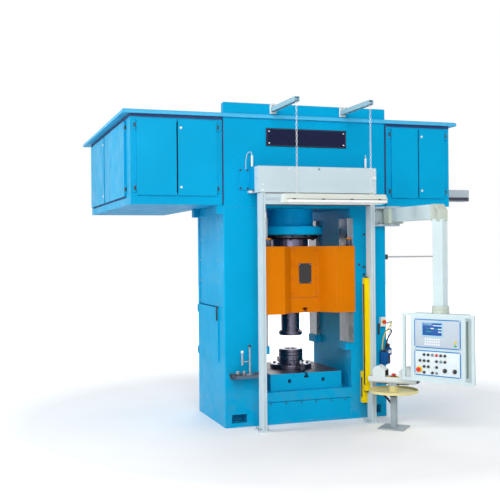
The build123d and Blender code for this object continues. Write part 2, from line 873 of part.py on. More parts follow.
# Left cabinet: sheet enclosure with two front doors and two doors in its outer side
left_outer = -left_cabinet_end
left_inner = -side - cabinet_gap
left_door_left = left_outer + front_stile
left_door_right = left_inner - front_stile
left_door_width = (left_door_right - left_door_left - door_split_gap) / 2
side_front = front + side_stile
side_back = cabinet_rear - side_rear_stile
side_front_end = side_split - side_split_gap / 2
side_rear_start = side_split + side_split_gap / 2
left_a_place = front_hinge(left_door_left - hinge_offset, 1)
left_b_place = front_hinge(left_door_right + hinge_offset, -1)
side_front_place = side_hinge(side_front - hinge_offset, 1)
side_rear_place = side_hinge(side_back + hinge_offset, -1)
with BuildPart() as left_cabinet:
    add_shell(left_outer, left_inner, left_door_left, left_door_right)
    for start, end in ((side_front, side_front_end), (side_rear_start, side_back)):
        block(left_outer - cut_overrun, left_outer + cabinet_wall + cut_overrun, start + door_lap,
              end - door_lap, door_bottom + door_lap, door_top - door_lap, mode=Mode.SUBTRACT)
    for hinge_place in (left_a_place, left_b_place, side_front_place, side_rear_place):
        add_knuckles(hinge_place, door_height)
pieces["left_cabinet"] = left_cabinet
pieces["left_door_a"] = make_door(left_a_place, left_door_width, door_height, door_thickness)
pieces["left_door_b"] = make_door(left_b_place, left_door_width, door_height, door_thickness)
side_front_width = side_front_end - side_front
side_rear_width = side_back - side_rear_start
pieces["side_door_front"] = make_door(side_front_place, side_front_width, door_height, door_thickness)
pieces["side_door_rear"] = make_door(side_rear_place, side_rear_width, door_height, door_thickness)

# Right cabinet: the same enclosure, narrower, with two front doors
right_inner = side + cabinet_gap
right_outer = right_cabinet_end
right_door_left = right_inner + front_stile
right_door_right = right_outer - front_stile
right_door_width = (right_door_right - right_door_left - door_split_gap) / 2
right_a_place = front_hinge(right_door_left - hinge_offset, 1)
right_b_place = front_hinge(right_door_right + hinge_offset, -1)
with BuildPart() as right_cabinet:
    add_shell(right_inner, right_outer, right_door_left, right_door_right)
    for hinge_place in (right_a_place, right_b_place):
        add_knuckles(hinge_place, door_height)
pieces["right_cabinet"] = right_cabinet
pieces["right_door_a"] = make_door(right_a_place, right_door_width, door_height, door_thickness)
pieces["right_door_b"] = make_door(right_b_place, right_door_width, door_height, door_thickness)

# Pump unit on the floor of the left cabinet: base, motor on its foot, coupling and pump
cabinet_floor = cabinet_bottom + cabinet_wall
pump_x = (left_outer + left_inner) / 2
pump_y = (front + cabinet_rear) / 2
shaft_z = cabinet_floor + pump_base_height + motor_foot_height + motor_radius
with BuildPart() as pump_unit:
    block(pump_x - pump_base_width / 2, pump_x + pump_base_width / 2, pump_y - pump_base_length / 2,
          pump_y + pump_base_length / 2, cabinet_floor, cabinet_floor + pump_base_height)
    motor_y = pump_y + pump_base_length * (motor_place_share - 1 / 2) + motor_length / 4
    with Locations((pump_x, motor_y, shaft_z)):
        Cylinder(motor_radius, motor_length, rotation=(90, 0, 0))
    block(pump_x - motor_foot_width / 2, pump_x + motor_foot_width / 2, motor_y - motor_length / 3,
          motor_y + motor_length / 3, cabinet_floor + pump_base_height, shaft_z)
    coupling_y = motor_y + (motor_length + coupling_length) / 2
    with Locations((pump_x, coupling_y, shaft_z)):
        Cylinder(coupling_radius, coupling_length, rotation=(90, 0, 0))
    with Locations((pump_x, coupling_y + (coupling_length + pump_length) / 2, shaft_z)):
        Cylinder(pump_radius, pump_length, rotation=(90, 0, 0))
pieces["pump_unit"] = pump_unit

# Switchgear: mounting plate on the inner wall of the right cabinet with rows of breakers
rack_x = right_outer - cabinet_wall - rack_stand
rack_y = (front + cabinet_rear) / 2
rack_z = (cabinet_bottom + cabinet_top) / 2
with BuildPart() as switchgear_plate:
    block(rack_x - rack_thickness, rack_x, rack_y - rack_width / 2, rack_y + rack_width / 2,
          rack_z - rack_height / 2, rack_z + rack_height / 2)
    for end in (-1, 1):
        stand_z = rack_z + end * (rack_height - rack_stand) / 2
        block(rack_x, rack_x + rack_stand, rack_y - rack_width / 2, rack_y + rack_width / 2,
              stand_z - rack_stand / 2, stand_z + rack_stand / 2)
    with Locations(Plane((rack_x - rack_thickness, rack_y, rack_z), x_dir=(0, 1, 0), z_dir=(-1, 0, 0))):
        with Locations((0, 0, breaker_depth / 2)):
            with GridLocations(breaker_pitch_x, breaker_pitch_z, breaker_columns, breaker_rows):
                Box(breaker_width, breaker_height, breaker_depth)
pieces["switchgear_plate"] = switchgear_plate

# Cable duct: short square duct out of the right cabinet's side
with BuildPart() as cable_duct:
    block(right_outer, right_outer + duct_length, -duct_front, duct_size - duct_front,
          duct_bottom, duct_bottom + duct_size)
    block(right_outer + duct_wall, right_outer + duct_length + cut_overrun, duct_wall - duct_front,
          duct_size - duct_wall - duct_front, duct_bottom + duct_wall, duct_bottom + duct_size - duct_wall,
          mode=Mode.SUBTRACT)
pieces["cable_duct"] = cable_duct

# Pendant bracket: wall plate on the right column with two lugs and the pin that the arm swings on
pivot_y = front - pivot_front
sleeve_bottom = arm_bottom - lug_thickness
sleeve_top = arm_top
with BuildPart() as pendant_bracket:
    block(side - wall_plate_width, side, front - wall_plate_thickness, front,
          sleeve_bottom - lug_thickness, sleeve_top + lug_thickness)
    for level in (sleeve_bottom - lug_thickness, sleeve_top):
        with BuildSketch(Plane.XY.offset(level)) as lug:
            with Locations((pivot_x, pivot_y)):
                Circle(pivot_radius)
            with BuildLine():
                plate_y = front - wall_plate_thickness
                Polyline((side - wall_plate_width, plate_y), (side, plate_y), (pivot_x, pivot_y),
                         (pivot_x - pivot_radius, pivot_y), close=True)
            make_face()
        extrude(amount=lug_thickness)
    with Locations((pivot_x, pivot_y, (sleeve_bottom + sleeve_top) / 2)):
        Cylinder(pivot_pin_radius, sleeve_top - sleeve_bottom)
pieces["pendant_bracket"] = pendant_bracket

# Pendant arm: ribbed sleeve on the pin, square arm with a chamfered elbow, and the drop tube
arm_along = (math.sin(math.radians(arm_yaw)), -math.cos(math.radians(arm_yaw)), 0)
arm_end = Vector(pivot_x, pivot_y, 0) + Vector(*arm_along) * arm_length
arm_plane = Plane((pivot_x, pivot_y, 0), x_dir=arm_along, z_dir=Vector(*arm_along).cross(Vector(0, 0, 1)))
panel_swivel_z = panel_top + coupling_height
drop_bottom = panel_swivel_z + seat_clearance
with BuildPart() as pendant_arm:
    with BuildSketch(Plane.XY.offset(sleeve_bottom + seat_clearance)) as sleeve:
        with Locations((pivot_x, pivot_y)):
            Circle(pivot_radius - rib_depth)
    extrude(amount=sleeve_top - sleeve_bottom - 2 * seat_clearance)
    rib_pitch = (sleeve_top - sleeve_bottom) / (rib_count + 1)
    for rib in range(rib_count):
        with Locations((pivot_x, pivot_y, sleeve_bottom + (rib + 1) * rib_pitch)):
            Cylinder(pivot_radius, rib_width)
    with BuildSketch(arm_plane) as arm_profile:
        with BuildLine():
            elbow_end = arm_length + drop_size / 2
            Polyline((pivot_radius / 2, arm_bottom + seat_clearance),
                     (elbow_end, arm_bottom + seat_clearance), (elbow_end, arm_top - arm_chamfer),
                     (elbow_end - arm_chamfer, arm_top - seat_clearance),
                     (pivot_radius / 2, arm_top - seat_clearance), close=True)
        make_face()
    extrude(amount=arm_tube_width / 2, both=True)
    drop_start = drop_bottom + coupling_height
    with BuildSketch(Plane((arm_end.X, arm_end.Y, drop_start), x_dir=heading(panel_yaw)[0])) as drop:
        Rectangle(drop_size, drop_size)
    extrude(amount=arm_bottom + seat_clearance - drop_start)
    with Locations((arm_end.X, arm_end.Y, drop_bottom + coupling_height / 2)):
        Cylinder(swivel_radius, coupling_height)
    with Locations((arm_end.X, arm_end.Y, drop_bottom + swivel_pin_length / 2)):
        Cylinder(swivel_pin_radius + running_clearance, swivel_pin_length + seat_clearance,
                 mode=Mode.SUBTRACT)
    with Locations((pivot_x, pivot_y, (sleeve_bottom + sleeve_top) / 2)):
        Cylinder(pivot_pin_radius + running_clearance, sleeve_top - sleeve_bottom, mode=Mode.SUBTRACT)
pieces["pendant_arm"] = pendant_arm

# Panel box: control housing under the rotary coupling; its front plate runs out to a grip on each side
panel_middle = facing(arm_end.X, arm_end.Y, panel_top - panel_height / 2, panel_yaw)
with BuildPart(panel_middle) as panel_box:
    Box(panel_width, panel_height, panel_thickness)
    chamfer(panel_box.edges(), panel_edge)
    with BuildSketch(panel_middle.offset(panel_thickness / 2 - handle_thickness)) as front_plate:
        RectangleRounded(panel_width + 2 * handle_reach, panel_height, handle_corner)
        grip_gap = handle_reach - handle_width
        with Locations((-(panel_width + grip_gap) / 2, 0), ((panel_width + grip_gap) / 2, 0)):
            Rectangle(grip_gap, panel_height - 2 * handle_width, mode=Mode.SUBTRACT)
    extrude(amount=handle_thickness)
    with Locations((0, (panel_height + coupling_height) / 2, 0)):
        Cylinder(swivel_radius, coupling_height, rotation=(90, 0, 0))
    with Locations((0, panel_height / 2 + coupling_height + swivel_pin_length / 2, 0)):
        Cylinder(swivel_pin_radius, swivel_pin_length, rotation=(90, 0, 0))
    for x, y in ((estop_x, estop_y), (selector_left_x, selector_y), (selector_right_x, selector_y)):
        with Locations((x, y, panel_thickness / 2)):
            Cylinder(estop_stem_radius + running_clearance, 2 * estop_stem_length, mode=Mode.SUBTRACT)
pieces["panel_box"] = panel_box

# Panel face: two front plates with the screen's window, keys, lamps and push buttons
panel_front = panel_middle.offset(panel_thickness / 2)
with BuildPart(panel_front) as panel_face:
    for height, centre in ((upper_face_height, upper_face_offset), (lower_face_height, lower_face_offset)):
        with Locations((0, centre, face_thickness / 2)):
            Box(face_width, height, face_thickness)
    with Locations((screen_x, screen_y, face_thickness)):
        Box(screen_width, screen_height, 2 * screen_recess, mode=Mode.SUBTRACT)
    with Locations((key_x, key_y, face_thickness + key_height / 2)):
        with GridLocations(key_pitch_x, key_pitch_y, key_columns, key_rows):
            Box(key_size, key_size, key_height)
    for row_y, row_start, row_count in zip(button_rows_y, button_row_starts, button_row_counts):
        for column in range(row_start, row_start + row_count):
            button_x = button_first_x + column * button_pitch_x
            with Locations((button_x, row_y, face_thickness + button_height / 2)):
                Cylinder(button_radius, button_height)
    with Locations((estop_x, estop_y, face_thickness + estop_collar_height / 2)):
        Cylinder(estop_collar_radius, estop_collar_height)
    for x, y in ((estop_x, estop_y), (selector_left_x, selector_y), (selector_right_x, selector_y)):
        with Locations((x, y, 0)):
            Cylinder(estop_stem_radius + running_clearance, 4 * estop_stem_length, mode=Mode.SUBTRACT)
pieces["panel_face"] = panel_face

# Emergency button on the panel: mushroom cap over its stem
cap_level = face_thickness + estop_collar_height + estop_press + seat_clearance
with BuildPart(panel_front) as panel_estop:
    with Locations((estop_x, estop_y, cap_level + estop_cap_height / 2)):
        Cylinder(estop_cap_radius, estop_cap_height)
    chamfer(panel_estop.edges().sort_by(Axis((0, 0, 0), panel_front.z_dir))[-1], estop_cap_height / 3)
    with Locations((estop_x, estop_y, cap_level / 2)):
        Cylinder(estop_stem_radius, cap_level)
pieces["panel_estop"] = panel_estop


def make_selector(x):
    """Round selector with a bar grip, turning on a stem in the panel."""
    with BuildPart(panel_front) as selector:
        with Locations((x, selector_y, face_thickness + seat_clearance + selector_height / 2)):
            Cylinder(selector_radius, selector_height)
        with Locations((x, selector_y, face_thickness + selector_height + selector_bar_height / 2)):
            Box(selector_bar, 2 * selector_radius - selector_bar, selector_bar_height)
        with Locations((x, selector_y, 0)):
            Cylinder(estop_stem_radius, 2 * (face_thickness + seat_clearance))
    return selector


pieces["selector_left"] = make_selector(selector_left_x)
pieces["selector_right"] = make_selector(selector_right_x)

# Console post: floor plate, square post and the cap under the console
console_y = -console_front
with BuildPart(Plane((console_x, console_y, 0), x_dir=heading(console_yaw)[0])) as console_post:
    with Locations((0, 0, console_base_thickness / 2)):
        Box(console_base_size, console_base_size, console_base_thickness)
    post_height = console_bottom - console_base_thickness
    with Locations((0, 0, console_base_thickness + post_height / 2)):
        Box(console_post_size, console_post_size, post_height)
    with Locations((0, 0, console_bottom - console_cap_height / 2)):
        Box(console_cap_size, console_cap_size, console_cap_height)
pieces["console_post"] = console_post

# Round tray on the post: rimmed dish with a hub that reaches up to the post's cap
with BuildPart() as round_tray:
    with BuildSketch(Plane((console_x, console_y, tray_level), x_dir=heading(console_yaw)[0])) as dish:
        Circle(tray_radius)
        Rectangle(console_post_size + 2 * seat_clearance, console_post_size + 2 * seat_clearance,
                  mode=Mode.SUBTRACT)
    extrude(amount=tray_floor)
    with BuildSketch(Plane((console_x, console_y, tray_level))) as rim:
        Circle(tray_radius)
        Circle(tray_radius - tray_wall, mode=Mode.SUBTRACT)
    extrude(amount=tray_height)
    with BuildSketch(Plane((console_x, console_y, tray_level), x_dir=heading(console_yaw)[0])) as hub:
        Circle(tray_hub_radius)
        Rectangle(console_post_size + 2 * seat_clearance, console_post_size + 2 * seat_clearance,
                  mode=Mode.SUBTRACT)
    extrude(amount=console_bottom - console_cap_height - tray_level)
pieces["round_tray"] = round_tray

# Console body: bar with bevelled flanks, a hood over each palm button and a seat for the stop button
console_plane = Plane((console_x, console_y, console_bottom), x_dir=heading(console_yaw)[0])
palm_x = console_length / 2 - hood_inset - hood_length / 2
hood_middle = facing(console_x, console_y, console_bottom + console_height, console_yaw)


def add_hood(hand, skin, mode):
    """Rounded hood over one palm button, shrunk by skin; its mouth looks towards the console's middle."""
    back = hand * (palm_x + hood_length / 2 - skin)
    crest = hand * (palm_x + hood_length / 2 - hood_bend)
    mouth = hand * (palm_x - hood_length / 2 - skin)
    with BuildSketch(hood_middle) as outline:
        with BuildLine():
            Polyline((mouth, hood_mouth - skin), (mouth, 0), (back, 0), (back, hood_height - hood_bend))
            TangentArc((back, hood_height - hood_bend), (crest, hood_height - skin), tangent=(0, 1))
            Line((crest, hood_height - skin), (mouth, hood_mouth - skin))
        make_face()
    extrude(outline.sketch, amount=console_depth / 2 - skin, both=True, mode=mode)


with BuildPart(console_plane) as console_body:
    with Locations((0, 0, console_height / 2)):
        Box(console_length, console_depth, console_height)
    chamfer(console_body.edges().group_by(Axis.Z)[0], console_chamfer)
    for hand in (-1, 1):
        add_hood(hand, 0, Mode.ADD)
        add_hood(hand, hood_wall, Mode.SUBTRACT)
        with Locations((hand * palm_x, 0, console_height)):
            Cylinder(palm_stem_radius + running_clearance, 2 * palm_stem_length, mode=Mode.SUBTRACT)
    with Locations((0, 0, console_height + estop_collar_height / 2)):
        Cylinder(estop_collar_radius, estop_collar_height)
    with Locations((0, 0, console_height)):
        Cylinder(estop_stem_radius + running_clearance, 2 * estop_stem_length, mode=Mode.SUBTRACT)
pieces["console_body"] = console_body

# Palm buttons under the hoods
for hand, name in ((-1, "palm_button_left"), (1, "palm_button_right")):
    with BuildPart(console_plane) as palm_button:
        palm_level = console_height + palm_press + seat_clearance
        with Locations((hand * palm_x, 0, palm_level + palm_height / 2)):
            Cylinder(palm_radius, palm_height)
        chamfer(palm_button.edges().group_by(Axis.Z)[-1], palm_height / 3)
        with Locations((hand * palm_x, 0, palm_level - palm_press / 2)):
            Cylinder(palm_stem_radius, palm_press + 2 * seat_clearance)
    pieces[name] = palm_button

# Emergency button in the middle of the console
with BuildPart(console_plane) as console_estop:
    stop_level = console_height + estop_collar_height + estop_press + seat_clearance
    with Locations((0, 0, stop_level + estop_cap_height / 2)):
        Cylinder(estop_cap_radius, estop_cap_height)
    chamfer(console_estop.edges().group_by(Axis.Z)[-1], estop_cap_height / 3)
    with Locations((0, 0, console_height + (stop_level - console_height) / 2)):
        Cylinder(estop_stem_radius, stop_level - console_height)
pieces["console_estop"] = console_estop

# Lead in its sleeve, from the right column's face down to the back of the console post
lead_out = Vector(*heading(console_yaw)[1])
lead_end = Vector(console_x, console_y, lead_end_level) - lead_out * (console_post_size / 2)
lead_start = Vector(lead_start_x, front, lead_start_level)
with BuildPart() as console_lead:
    with BuildLine() as lead_path:
        Bezier(lead_start, lead_start - Vector(0, lead_bend, 0), lead_end - lead_out * lead_bend, lead_end)
    with BuildSketch(Plane(lead_start, z_dir=(0, -1, 0))) as lead_section:
        Circle(lead_radius)
    sweep()
pieces["console_lead"] = console_lead

# Gauge shelf: shallow tray on a wall plate, on the left column's face
with BuildPart() as gauge_shelf:
    shelf_left = -shelf_centre - shelf_width / 2
    shelf_right = -shelf_centre + shelf_width / 2
    block(shelf_left, shelf_right, front - shelf_depth, front, shelf_level - shelf_thickness, shelf_level)
    block(shelf_left + shelf_lip, shelf_right - shelf_lip,
          front - shelf_depth + shelf_lip, front - shelf_lip,
          shelf_level - shelf_thickness + shelf_lip, shelf_level + cut_overrun, mode=Mode.SUBTRACT)
    block(shelf_left, shelf_right, front - shelf_plate_thickness, front,
          shelf_level - shelf_thickness - shelf_plate_height, shelf_level - shelf_thickness)
pieces["gauge_shelf"] = gauge_shelf

# Gauge stand in the tray: foot, rod, cross arm with an upright feeler, and two spare pins
shelf_floor = shelf_level - shelf_thickness + shelf_lip
gauge_y = front - shelf_depth / 2
with BuildPart() as gauge_stand:
    with Locations((-gauge_x, gauge_y, shelf_floor + gauge_base_height / 2)):
        Cylinder(gauge_base_radius, gauge_base_height)
    with Locations((-gauge_x, gauge_y, shelf_floor + gauge_rod_height / 2)):
        Cylinder(gauge_rod_radius, gauge_rod_height)
    gauge_arm_z = shelf_floor + gauge_rod_height * gauge_arm_level_share
    with Locations((-gauge_x - gauge_arm_length / 2, gauge_y, gauge_arm_z)):
        Cylinder(gauge_arm_radius, gauge_arm_length, rotation=(0, 90, 0))
    with Locations((-gauge_x - gauge_arm_length, gauge_y, gauge_arm_z + gauge_head_length / 4)):
        Cylinder(gauge_head_radius, gauge_head_length)
    for step in (1, 2):
        pin_x = -gauge_x - step * gauge_base_radius * 4 / 3
        with Locations((pin_x, gauge_y, shelf_floor + gauge_pin_height / 2)):
            Cylinder(gauge_pin_radius, gauge_pin_height)
pieces["gauge_stand"] = gauge_stand

# Stop box on the right column, with its push button
with BuildPart() as stop_box:
    block(stop_box_x - stop_box_width / 2, stop_box_x + stop_box_width / 2, front - stop_box_depth, front,
          stop_box_z - stop_box_height / 2, stop_box_z + stop_box_height / 2)
    chamfer(stop_box.faces().sort_by(Axis.Y)[0].edges(), stop_box_depth / 10)
    with Locations((stop_box_x, front - stop_box_depth, stop_box_z)):
        Cylinder(stop_stem_radius + running_clearance, 2 * stop_stem_length, rotation=(90, 0, 0),
                 mode=Mode.SUBTRACT)
pieces["stop_box"] = stop_box

stop_face = Plane((stop_box_x, front - stop_box_depth, stop_box_z), x_dir=(1, 0, 0), z_dir=(0, -1, 0))
with BuildPart(stop_face) as stop_button:
    with Locations((0, 0, stop_press + seat_clearance + stop_cap_height / 2)):
        Cylinder(stop_cap_radius, stop_cap_height)
    with Locations((0, 0, (stop_press + seat_clearance) / 2)):
        Cylinder(stop_stem_radius, stop_press + 2 * seat_clearance)
pieces["stop_button"] = stop_button

# Air service unit on the right column's side: plate, filter and regulator with bowls, knob on top
air_y = front + air_inset + air_plate_length / 2
with BuildPart() as air_service_unit:
    block(side, side + air_plate_thickness, air_y - air_plate_length / 2, air_y + air_plate_length / 2,
          air_bottom, air_bottom + air_plate_height)
    body_x = side + air_plate_thickness + air_body_size / 2
    body_z = air_bottom + air_bowl_height + air_body_height / 2
    for end in (-1, 1):
        unit_y = air_y + end * air_spacing / 2
        with Locations((body_x, unit_y, body_z)):
            Box(air_body_size, air_body_size, air_body_height)
        with Locations((body_x, unit_y, body_z - (air_body_height + air_bowl_height) / 2)):
            Cylinder(air_bowl_radius, air_bowl_height)
        with Locations((body_x, unit_y, body_z + (air_body_height + air_knob_height) / 2)):
            Cylinder(air_knob_radius, air_knob_height)
    with Locations((body_x, air_y, body_z)):
        Cylinder(air_bowl_radius / 2, air_spacing, rotation=(90, 0, 0))
pieces["air_service_unit"] = air_service_unit

# Hanger rod: thin bar held by a clamp on the right column's side
rod_y = front + hanger_inset
with BuildPart() as hanger_rod:
    block(side, side + clamp_length, rod_y - clamp_size / 2, rod_y + clamp_size / 2,
          rod_level - clamp_size / 2, rod_level + clamp_size / 2)
    with Locations((side + hanger_length / 2, rod_y, rod_level)):
        Cylinder(hanger_radius, hanger_length, rotation=(0, 90, 0))
pieces["hanger_rod"] = hanger_rod

for name, piece in pieces.items():
    piece.part.label = name
    export_step(piece.part, f"parts/{name}.step")
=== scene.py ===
import bpy
import math
from mathutils import Matrix, Vector


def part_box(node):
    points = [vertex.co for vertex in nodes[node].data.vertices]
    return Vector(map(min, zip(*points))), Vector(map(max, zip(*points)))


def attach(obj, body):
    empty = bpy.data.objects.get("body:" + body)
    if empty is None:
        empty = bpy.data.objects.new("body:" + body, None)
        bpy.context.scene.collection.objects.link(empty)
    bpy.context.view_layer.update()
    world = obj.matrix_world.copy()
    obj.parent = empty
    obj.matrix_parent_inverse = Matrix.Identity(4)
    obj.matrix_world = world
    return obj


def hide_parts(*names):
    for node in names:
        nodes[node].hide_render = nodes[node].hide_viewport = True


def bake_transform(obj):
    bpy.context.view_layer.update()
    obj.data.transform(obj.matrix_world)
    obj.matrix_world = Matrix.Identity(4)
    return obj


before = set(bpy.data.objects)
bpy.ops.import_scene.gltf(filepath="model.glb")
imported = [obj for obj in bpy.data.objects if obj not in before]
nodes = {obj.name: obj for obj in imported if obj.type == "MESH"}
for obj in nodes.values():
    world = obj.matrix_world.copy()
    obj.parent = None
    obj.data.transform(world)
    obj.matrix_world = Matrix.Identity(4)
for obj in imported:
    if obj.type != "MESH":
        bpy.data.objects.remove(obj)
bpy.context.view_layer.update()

# Studio: a pale floor, a soft lamp on each side, a white sky and a camera at eye height to the left,
# turned towards the press. None of it belongs to the object.
scene = bpy.context.scene
scene.view_settings.view_transform = "Standard"
stand = Vector((-3.150, -8.150, 1.701))
yaw, pitch, roll = math.radians(18.45), math.radians(-0.11), math.radians(-0.51)
ahead = Vector((math.sin(yaw) * math.cos(pitch), math.cos(yaw) * math.cos(pitch), math.sin(pitch)))
level = Vector((math.cos(yaw), -math.sin(yaw), 0))
upward = level.cross(ahead)
across = level * math.cos(roll) + upward * math.sin(roll)
over = upward * math.cos(roll) - level * math.sin(roll)
camera = bpy.data.objects.new("camera", bpy.data.cameras.new("camera"))
camera.data.sensor_width = 36
camera.data.lens = 60.98
camera.matrix_world = Matrix.Translation(stand) @ Matrix((across, over, -ahead)).transposed().to_4x4()
scene.collection.objects.link(camera)
scene.camera = camera


def lamp(name, place, aim, size, power):
    """Soft square lamp at a place, turned towards a point."""
    light = bpy.data.objects.new(name, bpy.data.lights.new(name, "AREA"))
    light.data.size = size
    light.data.energy = power
    light.location = place
    light.rotation_euler = (Vector(aim) - Vector(place)).to_track_quat("-Z", "Y").to_euler()
    scene.collection.objects.link(light)


lamp("front_lamp", (-2.6, -8.8, 5.2), (0.0, 0.0, 1.5), 5.0, 540)
lamp("left_lamp", (-8.5, -0.5, 4.2), (0.0, 0.3, 1.6), 4.0, 400)
lamp("rear_lamp", (2.5, 8.5, 5.0), (0.0, 0.6, 1.6), 5.0, 330)
lamp("right_lamp", (8.0, -1.0, 4.0), (0.6, 0.0, 1.5), 4.0, 200)

world = bpy.data.worlds.new("studio")
scene.world = world
world.use_nodes = True
sky_nodes, sky_links = world.node_tree.nodes, world.node_tree.links
sky = sky_nodes["Background"]
ray = sky_nodes.new("ShaderNodeLightPath")
direct = ray.outputs["Is Camera Ray"]
for kind in ("Is Glossy Ray", "Is Transmission Ray"):
    either = sky_nodes.new("ShaderNodeMath")
    either.operation = "ADD"
    either.use_clamp = True
    sky_links.new(direct, either.inputs[0])
    sky_links.new(ray.outputs[kind], either.inputs[1])
    direct = either.outputs[0]
ambient = 0.38
strength = sky_nodes.new("ShaderNodeMath")
strength.operation = "MULTIPLY_ADD"
strength.inputs[1].default_value = 1 - ambient
strength.inputs[2].default_value = ambient
sky_links.new(direct, strength.inputs[0])
sky_links.new(strength.outputs[0], sky.inputs["Strength"])
sky.inputs["Color"].default_value = (1, 1, 1, 1)

bpy.ops.object.select_all(action="DESELECT")
bpy.ops.mesh.primitive_circle_add(vertices=96, radius=30, fill_type="NGON")
floor = bpy.context.object
floor.name = "floor"


class Finish:
    """A material under construction: its shader, its nodes and short calls that wire them."""

    def __init__(self, name, roughness, metallic=0.0, specular=0.5):
        self.material = bpy.data.materials.new(name)
        self.material.use_nodes = True
        self.tree = self.material.node_tree
        self.shader = self.tree.nodes["Principled BSDF"]
        self.shader.inputs["Metallic"].default_value = metallic
        self.shader.inputs["Roughness"].default_value = roughness
        self.shader.inputs["Specular IOR Level"].default_value = specular
        self.place = self.tree.nodes.new("ShaderNodeTexCoord").outputs["Object"]

    def node(self, kind, **settings):
        """Add a node with its settings."""
        made = self.tree.nodes.new(kind)
        for key, value in settings.items():
            setattr(made, key, value)
        return made

    def wire(self, out, into):
        """Link an output to an input."""
        self.tree.links.new(out, into)

    def noise(self, scale, detail=3.0, stretch=(1, 1, 1)):
        """Cloud of values in the piece's own space."""
        turned = self.node("ShaderNodeMapping")
        turned.inputs["Scale"].default_value = stretch
        cloud = self.node("ShaderNodeTexNoise")
        cloud.inputs["Scale"].default_value = scale
        cloud.inputs["Detail"].default_value = detail
        self.wire(self.place, turned.inputs["Vector"])
        self.wire(turned.outputs["Vector"], cloud.inputs["Vector"])
        return cloud.outputs["Fac"]

    def span(self, value, low, high, start=0.3, end=0.7):
        """Map the values from start to end on low to high."""
        ranged = self.node("ShaderNodeMapRange")
        for key, amount in (("From Min", start), ("From Max", end), ("To Min", low), ("To Max", high)):
            ranged.inputs[key].default_value = amount
        self.wire(value, ranged.inputs["Value"])
        return ranged.outputs["Result"]

    def blend(self, share, first, second):
        """Mix two colours, each a tone or an output, by a share."""
        mix = self.node("ShaderNodeMix", data_type="RGBA")
        self.wire(share, mix.inputs["Factor"])
        for socket, colour in ((mix.inputs[6], first), (mix.inputs[7], second)):
            if isinstance(colour, tuple):
                socket.default_value = colour
            else:
                self.wire(colour, socket)
        return mix.outputs[2]

    def times(self, first, second):
        """Product of two values."""
        product = self.node("ShaderNodeMath", operation="MULTIPLY")
        self.wire(first, product.inputs[0])
        self.wire(second, product.inputs[1])
        return product.outputs[0]

    def edges(self, radius):
        """Share of an edge's nearness, and the rounded normal that goes with it."""
        rounded = self.node("ShaderNodeBevel", samples=4)
        rounded.inputs["Radius"].default_value = radius
        flat = self.node("ShaderNodeNewGeometry")
        dot = self.node("ShaderNodeVectorMath", operation="DOT_PRODUCT")
        self.wire(rounded.outputs["Normal"], dot.inputs[0])
        self.wire(flat.outputs["Normal"], dot.inputs[1])
        return self.span(dot.outputs["Value"], 1.0, 0.0, 0.75, 0.99), rounded.outputs["Normal"]

    def bump(self, height, strength, distance, normal):
        """Fine relief on top of a rounded normal."""
        made = self.node("ShaderNodeBump")
        made.inputs["Strength"].default_value = strength
        made.inputs["Distance"].default_value = distance
        self.wire(height, made.inputs["Height"])
        self.wire(normal, made.inputs["Normal"])
        self.wire(made.outputs["Normal"], self.shader.inputs["Normal"])

    def colour(self, out):
        """Take the base colour from an output."""
        self.wire(out, self.shader.inputs["Base Color"])

    def roughen(self, out):
        """Take the roughness from an output."""
        self.wire(out, self.shader.inputs["Roughness"])


pale = Finish("studio_floor", 0.9)
pale.colour(pale.blend(pale.noise(1.5), (0.84, 0.84, 0.85, 1), (0.9, 0.9, 0.9, 1)))
pale.shader.inputs["Emission Color"].default_value = (1, 1, 1, 1)
reach = pale.node("ShaderNodeVectorMath", operation="LENGTH")
pale.wire(pale.place, reach.inputs[0])
far = pale.span(reach.outputs["Value"], 0, 1, 2.6, 7.0)
direct = pale.node("ShaderNodeLightPath").outputs["Is Camera Ray"]
pale.wire(pale.times(far, direct), pale.shader.inputs["Emission Strength"])
floor.data.materials.append(pale.material)


# Columns, crown and bed: heavy welded box frame in gloss blue enamel, sprayed over filled plate.
# The enamel is a little uneven, rubbed pale along its edges and dusty near the floor.
def tone(red, green, blue):
    """Linear colour of a tone given in the 0 to 255 values that a screen shows."""
    def linear(value):
        share = value / 255
        return share / 12.92 if share <= 0.04045 else ((share + 0.055) / 1.055) ** 2.4
    return linear(red), linear(green), linear(blue), 1


def shade(colour, factor):
    """The same tone, lighter or darker."""
    return tuple(min(1.0, part * factor) for part in colour[:3]) + (1,)


def enamel(name, colour, roughness=0.3, wear=0.35, edge=0.005, dust=0.0, top=None):
    """Sprayed paint on metal: cloudy colour, soft orange peel and rubbed edges; the top may be bare."""
    finish = Finish(name, roughness, specular=0.06)
    cloud = finish.noise(1.7, 5)
    body = finish.blend(finish.span(cloud, 0, 1), shade(colour, 0.93), shade(colour, 1.05))
    near, rounded = finish.edges(edge)
    patch = finish.span(finish.noise(23, 4), 0, wear, 0.45, 0.62)
    coat = finish.blend(finish.times(near, patch), body, (0.55, 0.6, 0.62, 1))
    if dust:
        height = finish.node("ShaderNodeSeparateXYZ")
        finish.wire(finish.place, height.inputs[0])
        low = finish.span(height.outputs["Z"], dust, 0.0, 0.0, 0.7)
        speckle = finish.span(finish.noise(9, 6), 0, 1, 0.4, 0.65)
        coat = finish.blend(finish.times(low, speckle), coat, (0.2, 0.21, 0.22, 1))
    if top:
        facing = finish.node("ShaderNodeSeparateXYZ")
        finish.wire(finish.node("ShaderNodeNewGeometry").outputs["Normal"], facing.inputs[0])
        coat = finish.blend(finish.span(facing.outputs["Z"], 0, 1, 0.8, 0.95), coat, top)
    finish.colour(coat)
    finish.roughen(finish.span(finish.noise(6, 4), roughness - 0.05, roughness + 0.12))
    finish.bump(finish.noise(320, 2), 0.08, 0.0004, rounded)
    return finish.material


def dress(material, *names):
    """Give a finish to CAD nodes."""
    for name in names:
        nodes[name].data.materials.clear()
        nodes[name].data.materials.append(material)


